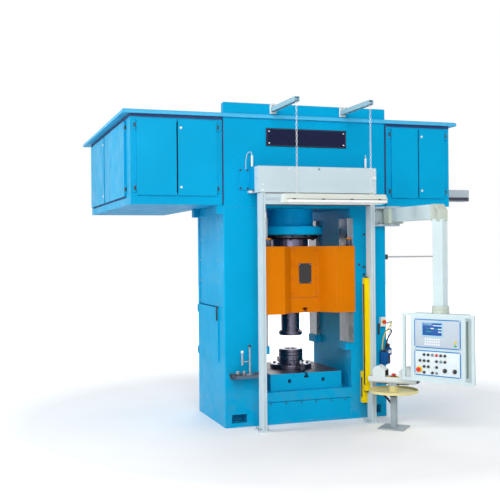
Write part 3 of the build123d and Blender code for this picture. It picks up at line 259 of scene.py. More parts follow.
blue = tone(0, 158, 207)
frame_blue = enamel("frame_blue", blue, dust=0.16)
dress(frame_blue, "left_upright", "right_upright", "crown", "bed")


# Fasteners on the frame: socket cap screws of turned steel, here as dark plugs in the right column.
# Each size is modelled once, standing on its seat along Z, and copied to its places.
def steel(name, colour=(0.48, 0.49, 0.5, 1), roughness=0.32, grain=(1, 1, 1), scale=60, edge=0.002):
    """Machined steel: fine streaks along one direction, and edges painted lighter as a highlight."""
    finish = Finish(name, roughness, 1.0)
    streak = finish.noise(scale, 4, grain)
    near, rounded = finish.edges(edge)
    body = finish.blend(finish.span(streak, 0, 1), shade(colour, 0.8), shade(colour, 1.12))
    # Lighter colour along every edge: painted highlight.
    finish.colour(finish.blend(near, body, shade(colour, 1.4)))
    finish.roughen(finish.span(finish.noise(11, 4), roughness - 0.07, roughness + 0.15))
    finish.bump(streak, 0.06, 0.0003, rounded)
    return finish.material


def begin(maker, **settings):
    """Add a primitive with nothing else selected, ready for edit mode."""
    bpy.ops.object.select_all(action="DESELECT")
    maker(**settings)
    return bpy.context.object


def drum(radius, height, sides=24, middle=None, turn=(0, 0, 0)):
    """Cylinder along Z, standing on its seat unless its middle is given."""
    made = begin(bpy.ops.mesh.primitive_cylinder_add, vertices=sides, radius=radius, depth=height,
                 location=middle or (0, 0, height / 2), rotation=turn)
    bpy.ops.object.transform_apply()
    return made


def pick(piece, test, mode="FACE"):
    """In edit mode, select the faces by centre and normal, or the edges by centre and run."""
    bpy.ops.object.mode_set(mode="OBJECT")
    mesh = piece.data
    for group in (mesh.vertices, mesh.edges, mesh.polygons):
        group.foreach_set("select", [False] * len(group))
    if mode == "FACE":
        for face in mesh.polygons:
            face.select = test(face.center, face.normal)
    else:
        for edge in mesh.edges:
            first, second = (mesh.vertices[v].co for v in edge.vertices)
            edge.select = test((first + second) / 2, second - first)
    bpy.ops.object.mode_set(mode="EDIT")
    bpy.ops.mesh.select_mode(type=mode)


def faces_up(centre, normal):
    """Test for the faces on top of a model."""
    return normal.z > 0.9


def extrude(rise):
    """Draw what is selected out along Z."""
    bpy.ops.mesh.extrude_region_move(TRANSFORM_OT_translate={"value": (0, 0, rise)})


def settle(piece, bevel=0.0, segments=2, angle=40):
    """Leave edit mode, round the edges and smooth by angle."""
    bpy.ops.object.mode_set(mode="OBJECT")
    if bevel:
        rounding = piece.modifiers.new("rounding", "BEVEL")
        rounding.width = bevel
        rounding.segments = segments
        rounding.limit_method = "ANGLE"
        rounding.angle_limit = math.radians(angle)
        bpy.ops.object.modifier_apply(modifier=rounding.name)
    bpy.ops.object.shade_smooth_by_angle(angle=math.radians(angle))
    return piece


def seat(origin, outward, up=(0, 0, 1)):
    """Place of a piece that was modelled on its seat along Z: where it stands and where it points."""
    out = Vector(outward).normalized()
    side = Vector(up).cross(out).normalized()
    turned = Matrix((side, out.cross(side), out)).transposed().to_4x4()
    return Matrix.Translation(Vector(origin)) @ turned


def spread(model, places, name, material, body="frame", again=False):
    """Copy a model to its places as one piece, finish it and let it ride on a body.

    The model is dropped afterwards, unless it is needed again.
    """
    copies = []
    for place in places:
        copy = model.copy()
        copy.data = model.data.copy()
        copy.data.transform(place)
        scene.collection.objects.link(copy)
        copies.append(copy)
    bpy.ops.object.select_all(action="DESELECT")
    for copy in copies:
        copy.select_set(True)
    bpy.context.view_layer.objects.active = copies[0]
    if len(copies) > 1:
        bpy.ops.object.join()
    piece = bpy.context.view_layer.objects.active
    piece.name = name
    piece.data.materials.clear()
    piece.data.materials.append(material)
    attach(piece, body)
    if not again:
        bpy.data.objects.remove(model)
    return piece


def cap_screw(radius, height):
    """Socket cap screw: head with a bevelled rim and a round socket."""
    screw = drum(radius, height)
    pick(screw, faces_up)
    bpy.ops.mesh.inset(thickness=radius * 0.42, depth=0)
    extrude(-height * 0.55)
    return settle(screw, radius * 0.07, 1, 60)


bright_steel = steel("bright_steel")
dark_steel = steel("dark_steel", (0.07, 0.075, 0.1, 1), 0.4)
front_y = -0.480
forward = (0, -1, 0)


def front(x, z, y=front_y):
    """Seat on a face that looks to the front, by default that of the columns."""
    return seat((x, y, z), forward)


plug_places = ((0.611, 1.829), (0.608, 1.504), (0.607, 1.427), (0.555, 1.530))
spread(cap_screw(0.013, 0.004), [front(x, z) for x, z in plug_places],
       "column_plugs", dark_steel)

# Side cover and side door of the left column: folded blue sheet, the cover held by screws along its
# border, the door on two hinges with a flat black grip at its free edge.
sheet_blue = enamel("sheet_blue", blue, roughness=0.34, edge=0.003)
dress(sheet_blue, "left_side_cover", "left_side_door")
cover_low, cover_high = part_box("left_side_cover")
border = 0.03
row_pitch = (cover_high.z - cover_low.z - 2 * border) / 4
rows = [cover_low.z + border + step * row_pitch for step in range(5)]
columns = (cover_low.y + border, cover_high.y - border)
leftward = (-1, 0, 0)
spread(cap_screw(0.008, 0.006), [seat((cover_low.x, y, z), leftward) for z in rows for y in columns],
       "cover_screws", bright_steel)


def plastic(name, colour, roughness=0.4, grain=500, bump=0.1, edge=0.0015):
    """Moulded plastic: fine grain, a slightly mottled colour and edges painted lighter as a highlight."""
    finish = Finish(name, roughness)
    near, rounded = finish.edges(edge)
    body = finish.blend(finish.noise(30, 4), shade(colour, 0.9), shade(colour, 1.08))
    # Lighter colour along every edge: painted highlight.
    finish.colour(finish.blend(finish.span(near, 0, 0.4, 0, 1), body, shade(colour, 1.6)))
    finish.roughen(finish.span(finish.noise(14, 3), roughness - 0.05, roughness + 0.1))
    finish.bump(finish.noise(grain, 2), bump, 0.0003, rounded)
    return finish.material


def slab(size, middle=None):
    """Block of a size, standing on its seat unless its middle is given."""
    made = begin(bpy.ops.mesh.primitive_cube_add, size=1)
    made.scale = size
    made.location = (0, 0, size[2] / 2) if middle is None else middle
    bpy.ops.object.transform_apply()
    return made


def tile(width, height, thickness, rim=0.0, rise=0.0, bevel=0.0008, segments=2):
    """Flat plate on its seat, with an optional raised or sunk field inside its rim."""
    plate = slab((width, height, thickness))
    if rim:
        pick(plate, faces_up)
        bpy.ops.mesh.inset(thickness=rim)
        extrude(rise)
    return settle(plate, bevel, segments)


black_plastic = plastic("black_plastic", (0.018, 0.018, 0.02, 1), 0.42)
door_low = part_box("left_side_door")[0]
grip_sink, grip_inset, grip_level = 0.0063, 0.012, 1.075
spread(tile(0.02, 0.14, 0.012, 0.004, 0.003, 0.003),
       [seat((door_low.x + grip_sink, door_low.y + grip_inset, grip_level), leftward)],
       "side_door_grip", black_plastic, "left_side_door")

# Bed cover: plain blue sheet let into the front of the bed, below the bolster.
# A row of dark cap screws along its top edge holds it.
dress(sheet_blue, "bed_cover")
bed_low, bed_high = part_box("bed_cover")
end_inset, top_inset = 0.06, 0.014
screw_pitch = (bed_high.x - bed_low.x - 2 * end_inset) / 5
screw_xs = [bed_low.x + end_inset + step * screw_pitch for step in range(6)]
spread(cap_screw(0.007, 0.005), [front(x, bed_high.z - top_inset, bed_low.y) for x in screw_xs],
       "bed_cover_screws", dark_steel)

# Roof deck and top housing: folded sheet over the crown and the cabinets, painted with the frame. The roof
# deck's paler blue is painted highlight.
# Dark navy strips along the joints of the cabinets with the roof and the crown are painted shade, standing
# for the shadow gaps there.
# Paler copy of the frame blue on the roof deck: painted highlight along the roof.
dress(enamel("roof_highlight_blue", tone(74, 180, 224), roughness=0.4, edge=0.004), "roof_deck")
dress(frame_blue, "top_housing")
# Navy strips under the roof, along the side doors' foot and beside the crown: painted shade in the gaps.
shadow_gap_navy = plastic("shadow_gap_navy", tone(10, 46, 100), 0.6, 220, 0.2)
left_x, roof_joint, door_sill = -1.734, 2.931, 2.1905
for label, start, end, height in (
        ("left", (-1.733, front_y, roof_joint), (-0.864, front_y, roof_joint), 0.028),
        ("right", (0.864, front_y, roof_joint), (1.585, front_y, roof_joint), 0.028),
        ("side", (left_x, 2.030, roof_joint), (left_x, -0.479, roof_joint), 0.028),
        ("sill", (left_x, 1.940, door_sill), (left_x, -0.260, door_sill), 0.014)):
    run = Vector(end) - Vector(start)
    spread(tile(run.length, height, 0.004, height / 4, -0.0015, 0.0006),
           [seat((Vector(start) + Vector(end)) / 2, (run.y, -run.x, 0))],
           f"roof_shadow_strip_{label}", shadow_gap_navy)
# The crown's two strips are painted shade in the joints as well.
seal_x, seal_level = 0.8555, 2.522
spread(tile(0.014, 0.790, 0.003, 0.003, -0.001, 0.0006),
       [front(hand * seal_x, seal_level) for hand in (-1, 1)],
       "crown_shadow_strips", shadow_gap_navy)

# Sign plate: dark enamelled sheet across the front of the crown, left bare.
# A thin dark frame runs round it, and a screw in each corner holds it.
dress(enamel("sign_navy", tone(28, 34, 62), roughness=0.25, wear=0.2), "sign_plate")
sign_low, sign_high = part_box("sign_plate")
trim_margin, corner_inset = 0.012, 0.03
trim = begin(bpy.ops.mesh.primitive_plane_add, size=1)
trim.scale = (sign_high.x - sign_low.x - trim_margin, sign_high.z - sign_low.z - trim_margin, 1)
bpy.ops.object.transform_apply(scale=True)
bpy.ops.object.mode_set(mode="EDIT")
bpy.ops.mesh.select_all(action="SELECT")
bpy.ops.mesh.inset(thickness=0.005)
bpy.ops.mesh.delete(type="FACE")
bpy.ops.mesh.select_all(action="SELECT")
extrude(0.002)
bpy.ops.mesh.select_all(action="SELECT")
bpy.ops.mesh.normals_make_consistent()
settle(trim, 0.0005, 1)
pale_metal = steel("pale_metal", (0.72, 0.73, 0.74, 1), 0.3)
sign_middle = (sign_low + sign_high) / 2
spread(trim, [front(sign_middle.x, sign_middle.z, sign_low.y)], "sign_trim", dark_steel)
spread(cap_screw(0.007, 0.004),
       [front(x, z, sign_low.y) for x in (sign_low.x + corner_inset, sign_high.x - corner_inset)
        for z in (sign_low.z + corner_inset, sign_high.z - corner_inset)], "sign_screws", pale_metal)

# Bolster and dies: planed steel plate with a T-slot, blue with a bare top, and turned dies of dark steel.
# Two strap clamps with a stud and nut in the slot hold the lower die's flange down.
dress(enamel("bolster_blue", blue, roughness=0.36, wear=0.6, edge=0.004, top=tone(66, 62, 78)), "bolster")
tool_steel = steel("tool_steel", (0.17, 0.165, 0.23, 1), 0.24, (0.2, 0.2, 6), 40, 0.004)
dress(tool_steel, "lower_die", "upper_die")
upright, backward = (0, 0, 1), (0, 1, 0)


def at(x, y, z):
    """Place of a piece that keeps the way it was modelled."""
    return Matrix.Translation((x, y, z))


def circle(radius, level, count, outward, start=0.0):
    """Seats on a circle round the press's axis."""
    turns = [math.radians(start + 360 * step / count) for step in range(count)]
    return [seat((radius * math.cos(turn), radius * math.sin(turn), level), outward, backward)
            for turn in turns]


def hex_nut(radius, height):
    """Hexagon nut or bolt head with a raised top and a washer below."""
    washer = height * 0.15
    nut = drum(radius, height, 6)
    pick(nut, faces_up)
    bpy.ops.mesh.inset(thickness=radius * 0.14, depth=height * 0.12)
    pick(nut, lambda centre, normal: normal.z < -0.9)
    bpy.ops.mesh.extrude_region_move()
    bpy.ops.transform.resize(value=(1.25, 1.25, 1))
    extrude(-washer)
    settle(nut, radius * 0.05, 1, 35)
    nut.data.transform(at(0, 0, washer))
    return nut


def ring(radius, inner, height, bevel=0.001, sink=0.6, sides=48, segments=2):
    """Collar on its seat: round rim with a sunk field inside it."""
    made = drum(radius, height, sides)
    pick(made, faces_up)
    bpy.ops.mesh.inset(thickness=radius - inner)
    extrude(-height * sink)
    return settle(made, bevel, segments)


base_top, punch_top = 0.520, 0.850
spread(cap_screw(0.014, 0.014), circle(0.168, base_top, 8, upright, 22.5),
       "die_screws", dark_steel)
strap_thickness, strap_y, stud_inset = 0.026, 0.264, -0.012
strap = slab((0.05, 0.15, strap_thickness))
pick(strap, lambda centre, normal: normal.y > 0.9)
bpy.ops.transform.resize(value=(0.62, 1, 0.6), center_override=(0, 0, 0))
settle(strap, 0.003, 2)
strap_places = [seat((0, -strap_y, base_top), upright, backward),
                seat((0, strap_y, base_top), upright, forward)]
spread(strap, strap_places, "die_straps", dark_steel)
heel = settle(slab((0.05, 0.04, 0.045), (0, -0.052, -0.0225)), 0.003, 2)
spread(heel, strap_places, "strap_heels", dark_steel)
spread(hex_nut(0.019, 0.02), [place @ at(0, stud_inset, strap_thickness) for place in strap_places],
       "strap_nuts", bright_steel)
stud = settle(drum(0.0095, 0.13, 20, (0, stud_inset, -0.005)), 0.0015, 1)
spread(stud, strap_places, "strap_studs", bright_steel)
spread(ring(0.1235, 0.118, 0.010, 0.002, 0.1), [at(0, 0, base_top + rise) for rise in (0.030, 0.085, 0.118)],
       "die_bands", dark_steel)
spread(cap_screw(0.009, 0.009), circle(0.107, punch_top, 6, upright),
       "punch_screws", bright_steel, "ram")

# Ram: hollow-fronted orange casting between the guide rails, enamelled like the frame.
# Its bare black plate stands in the recess in a thin rim, with a rivet in each corner, and dark sleeves
# cover the two collars on its top.
dress(enamel("ram_orange", tone(214, 118, 0), roughness=0.32, wear=0.3, edge=0.006), "ram")
collar_x, collar_y, collar_level = 0.424, -0.531, 1.7172
spread(ring(0.031, 0.0275, 0.066, 0.0015, 0.1),
       [at(hand * collar_x, collar_y, collar_level) for hand in (-1, 1)],
       "ram_collar_sleeves", dark_steel, "ram")
plate_y, plate_z, plate_thickness = -0.417, 1.450, 0.002
spread(tile(0.130, 0.196, plate_thickness, 0.006, -0.0008, 0.0003, 1), [front(0, plate_z, plate_y)],
       "ram_plate", black_plastic, "ram")
rivet = begin(bpy.ops.mesh.primitive_uv_sphere_add, segments=12, ring_count=6, radius=0.0045)
rivet.scale = (1, 1, 0.5)
bpy.ops.object.transform_apply(scale=True)
settle(rivet)
spread(rivet, [front(x, plate_z + z, plate_y - plate_thickness)
               for x in (-0.056, 0.056) for z in (-0.088, 0.088)],
       "ram_plate_rivets", pale_metal, "ram")

# Plunger, cylinder, gland and guide rails: hard-chromed rod, blue turned flange with a ring of bolts
# below it, a steel gland with its own screws, and ground steel gibs screwed to the columns.
# The chrome's colour is dark and purplish: painted reflection of the dark inside of the press.
dress(steel("hard_chrome", (0.2, 0.19, 0.29, 1), 0.2, (1, 1, 0.1), 30), "piston_rod")
# The cylinder's blue is lighter than the frame's: painted light against the shade under the crown.
dress(enamel("cylinder_blue", tone(0, 188, 250), roughness=0.34, wear=0.5), "main_cylinder")
# The gland's steel is near black: painted shade under the flange.
dress(steel("gland_steel", (0.06, 0.06, 0.09, 1), 0.36), "cylinder_gland")
dress(steel("ground_steel", (0.4, 0.42, 0.45, 1), 0.28, (30, 30, 0.4), 12), "guide_rails")
flange_foot, gland_foot = 1.832, 1.790
downward = (0, 0, -1)
spread(cap_screw(0.017, 0.018), circle(0.314, flange_foot, 12, downward, 15),
       "flange_bolts", dark_steel)
spread(cap_screw(0.011, 0.011), circle(0.250, gland_foot, 10, downward),
       "gland_screws", dark_steel)
rail_x, rail_y = 0.471, 0.500
rail_levels = [0.82 + 0.11 * step for step in range(11)]
spread(cap_screw(0.007, 0.006), [seat((hand * rail_x, end * rail_y, z), (0, end, 0)) for end in (-1, 1)
                                 for hand in (-1, 1) for z in rail_levels],
       "rail_screws", bright_steel)

# Front gate: extruded aluminium posts on foot plates and a folded header, all coated pale grey and held
# by bolts and screws, with blue brackets. White plastic fittings finish it: a sleeve with a thin hose on
# each bracket, a knob on the header and a switch on the frame at the left.
gate_grey = enamel("gate_grey", tone(193, 210, 217), roughness=0.4, wear=0.15, edge=0.003)
dress(gate_grey, "gate_posts", "gate_header")
post_x, foot_top, header_y = 0.559, 0.014, -0.783
spread(hex_nut(0.013, 0.012), [seat((hand * post_x + end * 0.038, y, foot_top), upright, backward)
                               for hand in (-1, 1) for end in (-1, 1) for y in (-0.660, -0.730)],
       "foot_bolts", bright_steel)
header_places = ((post_x, 2.240), (post_x, 2.290), (0.575, 2.440), (0.300, 2.440), (0.0, 2.440))
spread(cap_screw(0.008, 0.006), [front(hand * x, z, header_y) for hand in (-1, 1) for x, z in header_places],
       "header_screws", pale_metal)
dress(sheet_blue, "gate_brackets")
bracket_y = -0.492
spread(cap_screw(0.010, 0.008), [front(hand * x, z, bracket_y) for hand in (-1, 1)
                                 for x in (0.614, 0.684) for z in (2.272, 2.445)],
       "bracket_bolts", dark_steel)


def hose(name, route, radius, material):
    """Round hose along a smooth route between its two ends."""
    piece = begin(bpy.ops.curve.primitive_nurbs_path_add)
    piece.data.splines.clear()
    spline = piece.data.splines.new("NURBS")
    spline.points.add(len(route) - 1)
    for point, place in zip(spline.points, route):
        point.co = (*place, 1)
    spline.use_endpoint_u = True
    spline.order_u = 4
    piece.data.resolution_u = spline.resolution_u = 12
    piece.data.bevel_depth = radius
    piece.data.bevel_resolution = 2
    piece.data.use_fill_caps = True
    bpy.ops.object.convert(target="MESH")
    bpy.ops.object.shade_smooth_by_angle(angle=math.radians(50))
    piece.name = name
    piece.data.materials.append(material)
    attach(piece, "frame")
    return piece


white_plastic = plastic("white_plastic", (0.74, 0.77, 0.78, 1), 0.38)
slat_grey = plastic("slat_grey", tone(190, 196, 200), 0.45)
pin_x, pin_y, pin_foot, pin_top = 0.592, -0.5665, 2.473, 2.574
spread(ring(0.0105, 0.006, 0.106, 0.003, 0.04), [at(hand * pin_x, pin_y, pin_foot) for hand in (-1, 1)],
       "switch_sleeves", white_plastic)
for hand, label in ((-1, "left"), (1, "right")):
    pin = Vector((hand * pin_x, pin_y, pin_top))
    steps = ((0, 0, 0), (0, 0, 0.03), (hand * 0.008, 0.02, 0.044), (hand * 0.028, 0.05, 0.038),
             (hand * 0.038, 0.07, -0.02), (hand * 0.04, 0.0745, -0.07), (hand * 0.04, 0.0745, -0.118))
    hose(f"switch_hose_{label}", [pin + Vector(step) for step in steps], 0.0035, slat_grey)
knob = drum(0.019, 0.02)
pick(knob, faces_up)
bpy.ops.mesh.inset(thickness=0.005, depth=0.004)
bpy.ops.mesh.inset(thickness=0.004, depth=-0.003)
settle(knob, 0.001, 2)
spread(knob, [front(0.571, 2.366, header_y)], "header_knob", white_plastic)
spread(tile(0.05, 0.024, 0.07, 0.006, 0.012, 0.003), [front(-0.585, 2.238)],
       "gate_switch", white_plastic)

# Shutter: plastic slat curtain on a roller in the header, and an aluminium bottom bar in the posts.
# The curtain's slats hang between roller and bar, and a rubber seal runs along
# the bar's foot.
dress(bright_steel, "shutter_roller")
dress(gate_grey, "shutter_bar")
curtain_low, curtain_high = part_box("shutter_curtain")
slats = 8
slat = (curtain_high.z - curtain_low.z) / slats
curtain = slab(curtain_high - curtain_low, (curtain_low + curtain_high) / 2)
curtain.name = "curtain"
for cut in range(1, 2 * slats):
    pick(curtain, lambda centre, normal: True)
    bpy.ops.mesh.bisect(plane_co=(0, 0, curtain_low.z + cut * slat / 2), plane_no=(0, 0, 1))
crest = [curtain_low.z + (step + 0.25) * slat for step in range(slats)]
pick(curtain, lambda centre, normal: abs(normal.y) > 0.9 and any(abs(centre.z - z) < slat / 8 for z in crest))
bpy.ops.mesh.inset(thickness=slat * 0.12, depth=0.0006, use_individual=True)
settle(curtain)
curtain.data.materials.append(slat_grey)
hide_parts("shutter_curtain")
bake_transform(curtain)
rubber = plastic("black_rubber", (0.02, 0.02, 0.025, 1), 0.62, 220, 0.2)
along_x = (0, math.radians(90), 0)
seal = settle(drum(0.011, 1.06, 16, (0, 0, 0), along_x), 0.003, 2)
bar_low, bar_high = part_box("shutter_bar")
spread(seal, [at(0, (bar_low.y + bar_high.y) / 2, bar_low.z + 0.002)], "shutter_seal", rubber,
       "shutter")

# Light curtains: two yellow enamelled housings at the gate's right post, with a dark window along the
# inner side. Yellow caps close their ends, each with a black plug.
signal_yellow = enamel("signal_yellow", tone(240, 208, 0), roughness=0.32, wear=0.2, edge=0.003)
dress(signal_yellow, "light_curtains")
dark_glass = plastic("dark_window", (0.012, 0.01, 0.016, 1), 0.12, 900, 0.02)
cap_sink, plug_rise = 0.012, 0.004
upside_down = Matrix.Rotation(math.pi, 4, "X")
for label, x_range, y_range, z_range in (("tall", (0.490, 0.538), (-0.7368, -0.6888), (0.318, 1.396)),
                                         ("short", (0.490, 0.559), (-0.675, -0.627), (0.194, 0.486))):
    middle = Vector((sum(x_range) / 2, sum(y_range) / 2, sum(z_range) / 2))
    size = Vector((x_range[1] - x_range[0], y_range[1] - y_range[0], z_range[1] - z_range[0]))
    window = settle(slab((size.y * 0.5, size.z - 0.1, 0.003), (0, 0, 0)), 0.001, 2)
    spread(window, [seat((x_range[0] - 0.0005, middle.y, middle.z), leftward)],
           f"{label}_window", dark_glass)
    cap = slab((size.x + 0.003, size.y + 0.003, 0.034), (0, 0, 0))
    pick(cap, faces_up)
    bpy.ops.mesh.inset(thickness=0.01, depth=0.004)
    settle(cap, 0.003, 2)
    spread(cap, [at(middle.x, middle.y, z_range[1] - cap_sink),
                 at(middle.x, middle.y, z_range[0] + cap_sink) @ upside_down],
           f"{label}_caps", signal_yellow)
    spread(ring(0.015, 0.009, 0.02, 0.003, 0.3),
           [at(middle.x, middle.y, z_range[1] + plug_rise),
            at(middle.x, middle.y, z_range[0] - plug_rise) @ upside_down],
           f"{label}_plugs", black_plastic)

# Lamp: pale folded reflector housing on two chains from channel arms on the roof.
# Round-wire links replace the plain ones. Tubes lie in the tray between two sockets and along the front
# edge, below a dark seam with clips.
dress(enamel("lamp_paint", tone(212, 218, 210), roughness=0.38, wear=0.2, edge=0.003), "lamp_housing")
dress(enamel("arm_zinc", tone(152, 190, 204), roughness=0.45, wear=0.4, edge=0.003), "lamp_arms")
lamp_x, chain_reach = 0.015, 0.365
chain_xs = (lamp_x - chain_reach, lamp_x + chain_reach)
hook_y, chain_top, chain_foot, link_count = -1.103, 3.038, 2.1977, 34
link_pitch = (chain_top - chain_foot) / link_count
link = begin(bpy.ops.mesh.primitive_torus_add, major_segments=14, minor_segments=6, major_radius=0.0065,
             minor_radius=0.002)
for corner in link.data.vertices:
    corner.co.y += math.copysign(link_pitch / 2 - 0.0045, corner.co.y) if abs(corner.co.y) > 0.0004 else 0
settle(link)
rightward = (1, 0, 0)
link_places = [seat((x, hook_y, chain_top - (step + 0.5) * link_pitch), backward if step % 2 else rightward)
               for x in chain_xs for step in range(link_count)]
zinc = steel("zinc", (0.5, 0.5, 0.52, 1), 0.36)
chain = spread(link, link_places, "chain_links", zinc, "lamp")
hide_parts("lamp_chains")
lamp_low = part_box("lamp_housing")[0]
tube_white = plastic("tube_white", (0.85, 0.86, 0.84, 1), 0.2, 900, 0.02)
tube = settle(drum(0.013, 0.93, 20, (0, 0, 0), along_x), 0.004, 2)
spread(tube, [at(lamp_x, hook_y + y, lamp_low.z + 0.001) for y in (-0.03, 0.03)],
       "lamp_tubes", tube_white, "lamp")
front_length = 0.96
spread(ring(0.013, 0.009, front_length, 0.004, 0.004),
       [seat((lamp_x - front_length / 2, lamp_low.y - 0.009, lamp_low.z + 0.012), rightward)],
       "lamp_front_tube", tube_white, "lamp")
spread(tile(0.98, 0.004, 0.002, 0.001, -0.0005, 0.0003), [front(lamp_x, lamp_low.z + 0.030, lamp_low.y)],
       "lamp_seam", dark_steel, "lamp")
spread(tile(0.03, 0.014, 0.012, 0.003, 0.003, 0.0015),
       [front(lamp_x + step, lamp_low.z + 0.028, lamp_low.y) for step in (-0.42, -0.14, 0.14, 0.42)],
       "lamp_clips", dark_steel, "lamp")
socket = settle(slab((0.03, 0.1, 0.016), (0, 0, 0)), 0.003, 2)
spread(socket, [at(lamp_x + hand * 0.475, hook_y, lamp_low.z + 0.004) for hand in (-1, 1)],
       "lamp_sockets", white_plastic, "lamp")
spread(tile(0.066, 0.1, 0.0025, 0.006, -0.0008, 0.0006),
       [front(x, 3.043, front_y - 0.010) for x in chain_xs], "arm_bases", white_plastic)
spread(hex_nut(0.010, 0.008), [front(x, z, front_y - 0.0115) for x in chain_xs for z in (3.012, 3.078)],
       "arm_bolts", bright_steel)

# Roof cabinets: sheet boxes hung on the crown's sides, each door on two hinges in black sleeves.
# One door of each pair has two round pale locks near its free edge.
dress(sheet_blue, "left_cabinet", "right_cabinet", "left_door_a", "left_door_b", "side_door_front",
      "side_door_rear", "right_door_a", "right_door_b")


def discard(model):
    """Remove a model that was spread several times."""
    bpy.data.objects.remove(model)


lock = drum(0.0115, 0.006)
pick(lock, faces_up)
bpy.ops.mesh.inset(thickness=0.003, depth=0.003)
bpy.ops.mesh.inset(thickness=0.004)
extrude(-0.005)
settle(lock, 0.0006, 1)
lock_in, lock_levels = 0.028, (2.274, 2.825)
for door in ("left_door_b", "right_door_b"):
    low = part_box(door)[0]
    spread(lock, [front(low.x + lock_in, z, low.y) for z in lock_levels],
           f"{door}_locks", white_plastic, door, again=True)
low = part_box("side_door_rear")[0]
spread(lock, [seat((low.x, low.y + lock_in, z), leftward) for z in lock_levels],
       "side_door_locks", white_plastic, "side_door_rear")
sleeve = drum(0.0092, 0.0396, 24, (0, 0, 0))
pick(sleeve, lambda centre, normal: abs(normal.z) > 0.9)
bpy.ops.mesh.inset(thickness=0.002, depth=-0.0006, use_individual=True)
settle(sleeve, 0.0004, 1)
hinge_y, hinge_x, door_middle, door_height = -0.4893, -1.7433, 2.5505, 0.705
hinge_share = 0.41
for door, x, y, middle, height in (
        ("left_door_a", -1.693, hinge_y, door_middle, door_height),
        ("left_door_b", -0.903, hinge_y, door_middle, door_height),
        ("right_door_a", 0.903, hinge_y, door_middle, door_height),
        ("right_door_b", 1.545, hinge_y, door_middle, door_height),
        ("side_door_front", hinge_x, -0.276, door_middle, door_height),
        ("side_door_rear", hinge_x, 1.956, door_middle, door_height),
        ("left_side_door", -0.8593, 0.444, 0.866, 0.528)):
    spread(sleeve, [at(x, y, middle + end * height * hinge_share) for end in (-1, 1)],
           f"{door}_sleeves", black_plastic, door, again=True)
discard(sleeve)

# Pump unit in the left cabinet: cast motor with cooling ribs on a welded base, coupling and pump.
# The ribs are a finned jacket over the motor's barrel.
dress(enamel("pump_grey", tone(112, 120, 126), roughness=0.5, wear=0.3), "pump_unit")


def every(count, sides, turn):
    """True for one in so many sides of a drum, by the angle at which a side looks out."""
    return round(turn * sides / 2 / math.pi - 0.5) % count == 0


pump_low, pump_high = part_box("pump_unit")
jacket = drum(0.152, 0.36, 64, (0, 0, 0), (math.radians(90), 0, 0))
pick(jacket, lambda centre, normal: abs(normal.y) < 0.1 and every(2, 64, math.atan2(normal.z, normal.x)))
bpy.ops.mesh.extrude_faces_move(TRANSFORM_OT_shrink_fatten={"value": 0.014})
settle(jacket)
spread(jacket, [at((pump_low.x + pump_high.x) / 2, 0.683, 2.404)],
       "motor_ribs", enamel("motor_grey", tone(96, 104, 112), 0.5))

# Switchgear in the right cabinet: moulded breakers in rows on a mounting plate.
# Each has a black toggle that tapers towards its tip.
dress(plastic("breaker_grey", tone(206, 208, 204), 0.5), "switchgear_plate")
toggle = slab((0.014, 0.03, 0.016), (0, 0.006, 0.008))
pick(toggle, faces_up)
bpy.ops.transform.resize(value=(0.8, 0.5, 1))
settle(toggle, 0.002, 2)
gear_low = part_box("switchgear_plate")[0]
gear_y, gear_z, column_pitch, row_pitch = 0.776, 2.530, 0.08, 0.16
spread(toggle, [seat((gear_low.x, gear_y + column_pitch * column, gear_z + row_pitch * row), leftward)
                for column in range(-2, 3) for row in (-1, 0, 1)],
       "breaker_toggles", black_plastic)

# Cable duct: short square duct of zinc-coated sheet out of the right cabinet's side.
# A dark lip runs along its lower edge.
dress(enamel("duct_grey", tone(172, 182, 190), roughness=0.45), "cable_duct")
duct_low, duct_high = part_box("cable_duct")
spread(tile(0.28, 0.034, 0.004, 0.006, -0.0015, 0.0008),
       [front(duct_high.x - 0.143, duct_low.z + 0.024, duct_low.y)],
       "duct_lip", dark_steel)

# Pendant arm: bracket on the right column, ribbed joint, square extruded arm and drop tube.
# Cast covers in pale beige close the joint, the elbow and the swivel; the bracket is bolted on.
pendant_white = enamel("pendant_white", tone(196, 213, 216), roughness=0.4, wear=0.12, edge=0.004)
dress(pendant_white, "pendant_arm", "panel_box")
dress(enamel("bracket_grey", tone(178, 192, 198), roughness=0.42, wear=0.2), "pendant_bracket")
bracket_face = -0.500
spread(hex_nut(0.014, 0.012), [front(x, z, bracket_face) for x in (0.722, 0.760) for z in (1.940, 2.075)],
       "pendant_bolts", bright_steel)
joint_beige = enamel("joint_beige", tone(188, 198, 186), roughness=0.45, wear=0.2, edge=0.003)
joint_x, joint_y, joint_foot, root_level = 0.866, -0.584, 1.932, 2.0075
elbow_level, arm_swivel, panel_swivel = 2.0175, 1.1355, 1.1008
arm_axis, arm_run = Vector((0.882, -1.46586, 0)), Vector((0.01815, -0.99984, 0))


def thicken(piece, thickness):
    """Give a sheet model a wall, inwards."""
    wall = piece.modifiers.new("wall", "SOLIDIFY")
    wall.thickness = thickness
    wall.offset = -1
    bpy.ops.object.modifier_apply(modifier=wall.name)


def climb(mode, count, steps):
    """Draw a flat outline up in repeated steps, each a rise and a swell."""
    bpy.ops.object.mode_set(mode="EDIT")
    bpy.ops.mesh.select_mode(type=mode)
    bpy.ops.mesh.select_all(action="SELECT")
    for rise, swell in steps * count:
        extrude(rise)
        bpy.ops.transform.resize(value=(swell, swell, 1))


